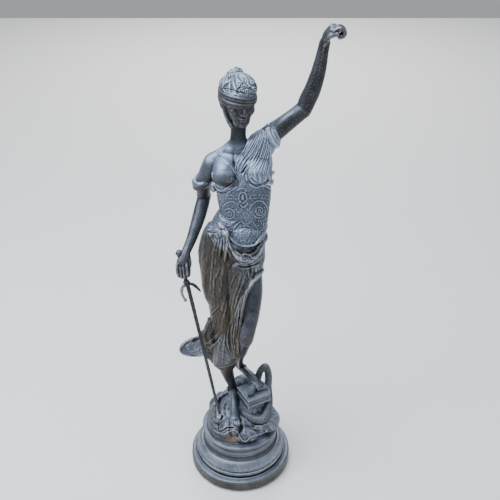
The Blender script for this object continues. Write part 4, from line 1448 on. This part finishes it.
def bronze(name, dark, mid, light, worn, rough, metal=0.72, dust=(0.30, 0.36, 0.46), dusty=0.5, warm=None, dirt=1.0,
           speck=0.5, bare=None, spot=None):
    """Patinated bronze: mottled colour, pale rubbed ridges, near-black crevices, pale dust on what faces up.

    The patina goes from dark to mid to light by noise; the hollow attribute darkens broad recesses, the
    edge attribute lightens fine ridges and blackens creases, and the upward part of the normal adds dust.
    Where the cloth attribute is low, bare tones take the place of the others.
    """
    material = bpy.data.materials.new(name)
    material.use_nodes = True
    tree = material.node_tree
    nodes, links = tree.nodes, tree.links
    shader = nodes["Principled BSDF"]

    def node(kind, **values):
        made = nodes.new("ShaderNode" + kind)
        for key, value in values.items():
            if key in made.inputs:
                made.inputs[key].default_value = value
            else:
                setattr(made, key, value)
        return made

    where = node("TexCoord").outputs["Object"]

    def noise(scale, detail, roughness=0.55, stretch=None):
        made = node("TexNoise", Scale=scale, Detail=detail, Roughness=roughness)
        if stretch is None:
            links.new(where, made.inputs["Vector"])
        else:
            aim = node("Mapping", Scale=stretch)
            links.new(where, aim.inputs["Vector"])
            links.new(aim.outputs["Vector"], made.inputs["Vector"])
        return made.outputs["Fac"]

    def ramp(source, *stops):
        made = node("ValToRGB")
        bar = made.color_ramp
        while len(bar.elements) < len(stops):
            bar.elements.new(0.5)
        for element, (place, colour) in zip(bar.elements, stops):
            element.position = place
            element.color = (*colour, 1.0) if not isinstance(colour, float) else (colour, colour, colour, 1.0)
        links.new(source, made.inputs["Fac"])
        return made.outputs["Color"]

    def span(source, low, high, out_low=0.0, out_high=1.0):
        made = node("MapRange")
        for key, value in (("From Min", low), ("From Max", high), ("To Min", out_low), ("To Max", out_high)):
            made.inputs[key].default_value = value
        links.new(source, made.inputs["Value"])
        return made.outputs["Result"]

    def times(a, b, operation="MULTIPLY"):
        made = node("Math", operation=operation)
        for socket, value in zip(made.inputs, (a, b)):
            if isinstance(value, float):
                socket.default_value = value
            else:
                links.new(value, socket)
        return made.outputs["Value"]

    def mixed(share, a, b, blend="MIX"):
        made = node("Mix", data_type="RGBA", blend_type=blend)
        links.new(share, made.inputs[0])
        for socket, value in ((made.inputs[6], a), (made.inputs[7], b)):
            if isinstance(value, tuple):
                socket.default_value = (*value, 1.0)
            else:
                links.new(value, socket)
        return made.outputs[2]

    edge = node("Attribute", attribute_name="edge").outputs["Fac"]
    hollow = node("Attribute", attribute_name="hollow").outputs["Fac"]
    normal = node("NewGeometry").outputs["Normal"]
    split = node("SeparateXYZ")
    links.new(normal, split.inputs["Vector"])
    up = split.outputs["Z"]

    clouds = noise(9.0, 5.0, 0.62)
    blotch = noise(34.0, 6.0, 0.65)
    fine = noise(150.0, 4.0, 0.7)
    runs = noise(26.0, 4.0, 0.6, stretch=(1.0, 1.0, 0.16))
    tone = times(times(clouds, 0.45), times(times(blotch, 0.35), times(runs, 0.2), "ADD"), "ADD")
    colour = ramp(tone, (0.34, dark), (0.5, mid), (0.68, light))
    if bare is not None:
        cloth = node("Attribute", attribute_name="cloth").outputs["Fac"]
        colour = mixed(cloth, ramp(tone, (0.34, bare[0]), (0.5, bare[1]), (0.68, bare[2])), colour)
    if warm is not None:
        tint, low, high = warm
        patch = times(span(noise(7.0, 3.0, 0.5), 0.42, 0.62), span(split.outputs["X"], 2.0, 3.0, 1.0, 1.0))
        level = node("SeparateXYZ")
        links.new(where, level.inputs["Vector"])
        height = times(span(level.outputs["Z"], low - 0.05, low), span(level.outputs["Z"], high, high + 0.06, 1.0, 0.0))
        colour = mixed(times(times(patch, height), 0.75), colour, tint)
    # dust on upward faces
    settled = times(span(up, 0.0, 0.85), times(span(blotch, 0.28, 0.6, 0.25, 1.0), dusty))
    if bare is not None:
        settled = times(settled, span(cloth, 0.0, 1.0, 0.45, 1.0))
    colour = mixed(settled, colour, dust)
    # broad recesses, creases, ridges
    colour = mixed(times(span(hollow, -0.3, -4.0), 0.62 * dirt), colour, tuple(0.28 * c for c in dark))
    colour = mixed(times(span(edge, -0.03, -0.34), 0.86 * dirt), colour, (0.010, 0.010, 0.011))
    ridge = times(span(edge, 0.05, 0.36), span(fine, 0.25, 0.6, 0.55, 1.0))
    if bare is not None:
        rubbed = mixed(cloth, bare[3], worn)
        colour = mixed(times(ridge, 0.72), colour, rubbed)
    else:
        colour = mixed(times(ridge, 0.72), colour, worn)
    if spot is not None:
        bright = node("Attribute", attribute_name="spot").outputs["Fac"]
        colour = mixed(times(bright, span(blotch, 0.35, 0.6, 0.35, 1.0)), colour, spot)
    # specks of dirt and of bare metal
    specks = times(span(fine, 0.66, 0.74), speck)
    colour = mixed(specks, colour, tuple(min(1.0, 1.25 * c) for c in light))
    pits = times(span(noise(230.0, 3.0, 0.7), 0.36, 0.28), 0.5)
    colour = mixed(pits, colour, tuple(0.5 * c for c in dark))
    links.new(colour, shader.inputs["Base Color"])
    shader.inputs["Metallic"].default_value = metal
    worn_rough = times(times(ridge, -0.1), span(blotch, 0.25, 0.75, rough - 0.07, rough + 0.1), "ADD")
    links.new(times(worn_rough, times(settled, 0.16), "ADD"), shader.inputs["Roughness"])
    height = times(times(blotch, 0.6), times(fine, 0.4), "ADD")
    bump = node("Bump", Strength=0.22, Distance=0.0007)
    links.new(height, bump.inputs["Height"])
    links.new(bump.outputs["Normal"], shader.inputs["Normal"])
    return material


def dressed(thing, material, stands_for):
    thing.data.materials.clear()
    thing.data.materials.append(material)
    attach(thing, "root")
    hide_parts(stands_for)


SKIN = ((0.011, 0.011, 0.013), (0.030, 0.030, 0.035), (0.064, 0.064, 0.073), (0.22, 0.22, 0.23))
PALE = ((0.034, 0.042, 0.058), (0.098, 0.123, 0.168), (0.185, 0.232, 0.320))
BLUE = ((0.050, 0.064, 0.092), (0.140, 0.180, 0.258), (0.240, 0.308, 0.440))
FACE = ((0.017, 0.017, 0.019), (0.044, 0.044, 0.050), (0.088, 0.088, 0.100), (0.25, 0.25, 0.26))
BROWN = ((0.013, 0.012, 0.0115), (0.038, 0.034, 0.031), (0.082, 0.074, 0.066), (0.200, 0.182, 0.160))
STONE = ((0.026, 0.025, 0.025), (0.062, 0.060, 0.059), (0.112, 0.109, 0.106), (0.22, 0.215, 0.21))
DUST = (0.37, 0.46, 0.63)

skin_bronze = bronze("skin_bronze", *SKIN[:3], (0.26, 0.26, 0.27), 0.37, dust=DUST, dusty=0.36)
hair_bronze = bronze("hair_bronze", *PALE, (0.50, 0.54, 0.60), 0.42, dust=DUST, dusty=0.46, bare=FACE, dirt=0.66)
cloth_bronze = bronze("cloth_bronze", *BLUE, (0.60, 0.69, 0.86), 0.42, dust=(0.37, 0.48, 0.70), dusty=0.95, bare=SKIN)
skirt_bronze = bronze(
    "skirt_bronze", *PALE, (0.50, 0.52, 0.56), 0.42, dust=DUST, dusty=0.62, bare=BROWN,
    warm=((0.052, 0.037, 0.021), 0.33, 0.66),
)
rock_bronze = bronze(
    "rock_bronze", (0.029, 0.033, 0.042), (0.077, 0.087, 0.112), (0.160, 0.182, 0.232), (0.44, 0.47, 0.52), 0.46,
    dust=DUST, dusty=0.56, spot=(0.36, 0.245, 0.165),
    bare=((0.014, 0.016, 0.020), (0.038, 0.042, 0.053), (0.086, 0.097, 0.124), (0.32, 0.34, 0.38)),
)
snake_bronze = bronze(
    "snake_bronze", (0.026, 0.027, 0.027), (0.066, 0.071, 0.075), (0.130, 0.139, 0.152), (0.42, 0.44, 0.46), 0.42,
    dust=DUST, dusty=0.5, warm=((0.075, 0.070, 0.030), 0.15, 0.21),
)
blade_bronze = bronze(
    "blade_bronze", (0.014, 0.015, 0.017), (0.034, 0.035, 0.039), (0.075, 0.077, 0.083), (0.40, 0.40, 0.41), 0.34,
    metal=0.85, dust=DUST, dusty=0.25, spot=(0.33, 0.34, 0.37),
)
plinth_patina = bronze(
    "plinth_patina", (0.076, 0.088, 0.110), (0.158, 0.181, 0.225), (0.25, 0.285, 0.35), (0.46, 0.49, 0.54), 0.46,
    dust=DUST, dusty=0.34, bare=STONE, speck=0.8,
)

dressed(head(), hair_bronze, "figure")
dressed(torso(), cloth_bronze, "figure")
dressed(arms(), skin_bronze, "figure")
dressed(skirt(), skirt_bronze, "figure")
dressed(legs(), skin_bronze, "figure")
dressed(rock(), rock_bronze, "figure")
dressed(book(), rock_bronze, "figure")
dressed(snake(), snake_bronze, "figure")
dressed(sword(), blade_bronze, "sword")
dressed(plinth(), plinth_patina, "plinth")


# Floor, light and camera


def floor():
    mesh = bpy.data.meshes.new("floor")
    mesh.from_pydata([(-6, -6, 0), (6, -6, 0), (6, 6, 0), (-6, 6, 0)], [], [(0, 1, 2, 3)])
    thing = bpy.data.objects.new("floor", mesh)
    bpy.context.scene.collection.objects.link(thing)
    material = bpy.data.materials.new("floor_paper")
    material.use_nodes = True
    shader = material.node_tree.nodes["Principled BSDF"]
    shader.inputs["Base Color"].default_value = (0.94, 0.94, 0.94, 1.0)
    shader.inputs["Roughness"].default_value = 0.9
    mesh.materials.append(material)


def softbox(name, place, size, power, colour, aim=(0.0, 0.0, 0.6)):
    """A square area light turned to face a point."""
    light = bpy.data.lights.new(name, "AREA")
    light.shape = "SQUARE"
    light.size = size
    light.energy = power
    light.color = colour
    thing = bpy.data.objects.new(name, light)
    thing.location = place
    away = Vector(place) - Vector(aim)
    thing.rotation_euler = away.to_track_quat("Z", "Y").to_euler()
    bpy.context.scene.collection.objects.link(thing)


def world():
    sky = bpy.data.worlds.new("studio")
    sky.use_nodes = True
    back = sky.node_tree.nodes["Background"]
    back.inputs["Color"].default_value = (0.93, 0.96, 1.0, 1.0)
    back.inputs["Strength"].default_value = 0.40
    bpy.context.scene.world = sky


def camera():
    lens = bpy.data.cameras.new("camera")
    lens.lens = 49.6
    lens.sensor_width = 36.0
    thing = bpy.data.objects.new("camera", lens)
    thing.location = tuple(EYE * MM)
    thing.rotation_euler = (math.radians(90.0) - TILT, 0.0, 0.0)
    bpy.context.scene.collection.objects.link(thing)
    bpy.context.scene.camera = thing


floor()
world()
softbox("overhead", (-0.8, -0.4, 3.1), 2.4, 135.0, (0.88, 0.94, 1.0))
softbox("front_left", (-2.4, -1.2, 2.0), 1.1, 22.0, (0.96, 0.97, 1.0))
softbox("right_side", (2.2, -0.6, 1.6), 1.2, 7.0, (1.0, 0.98, 0.95))
softbox("paper_light", (0.0, 4.2, 3.2), 2.6, 150.0, (1.0, 1.0, 1.0), (0.0, 4.4, 0.0))
camera()
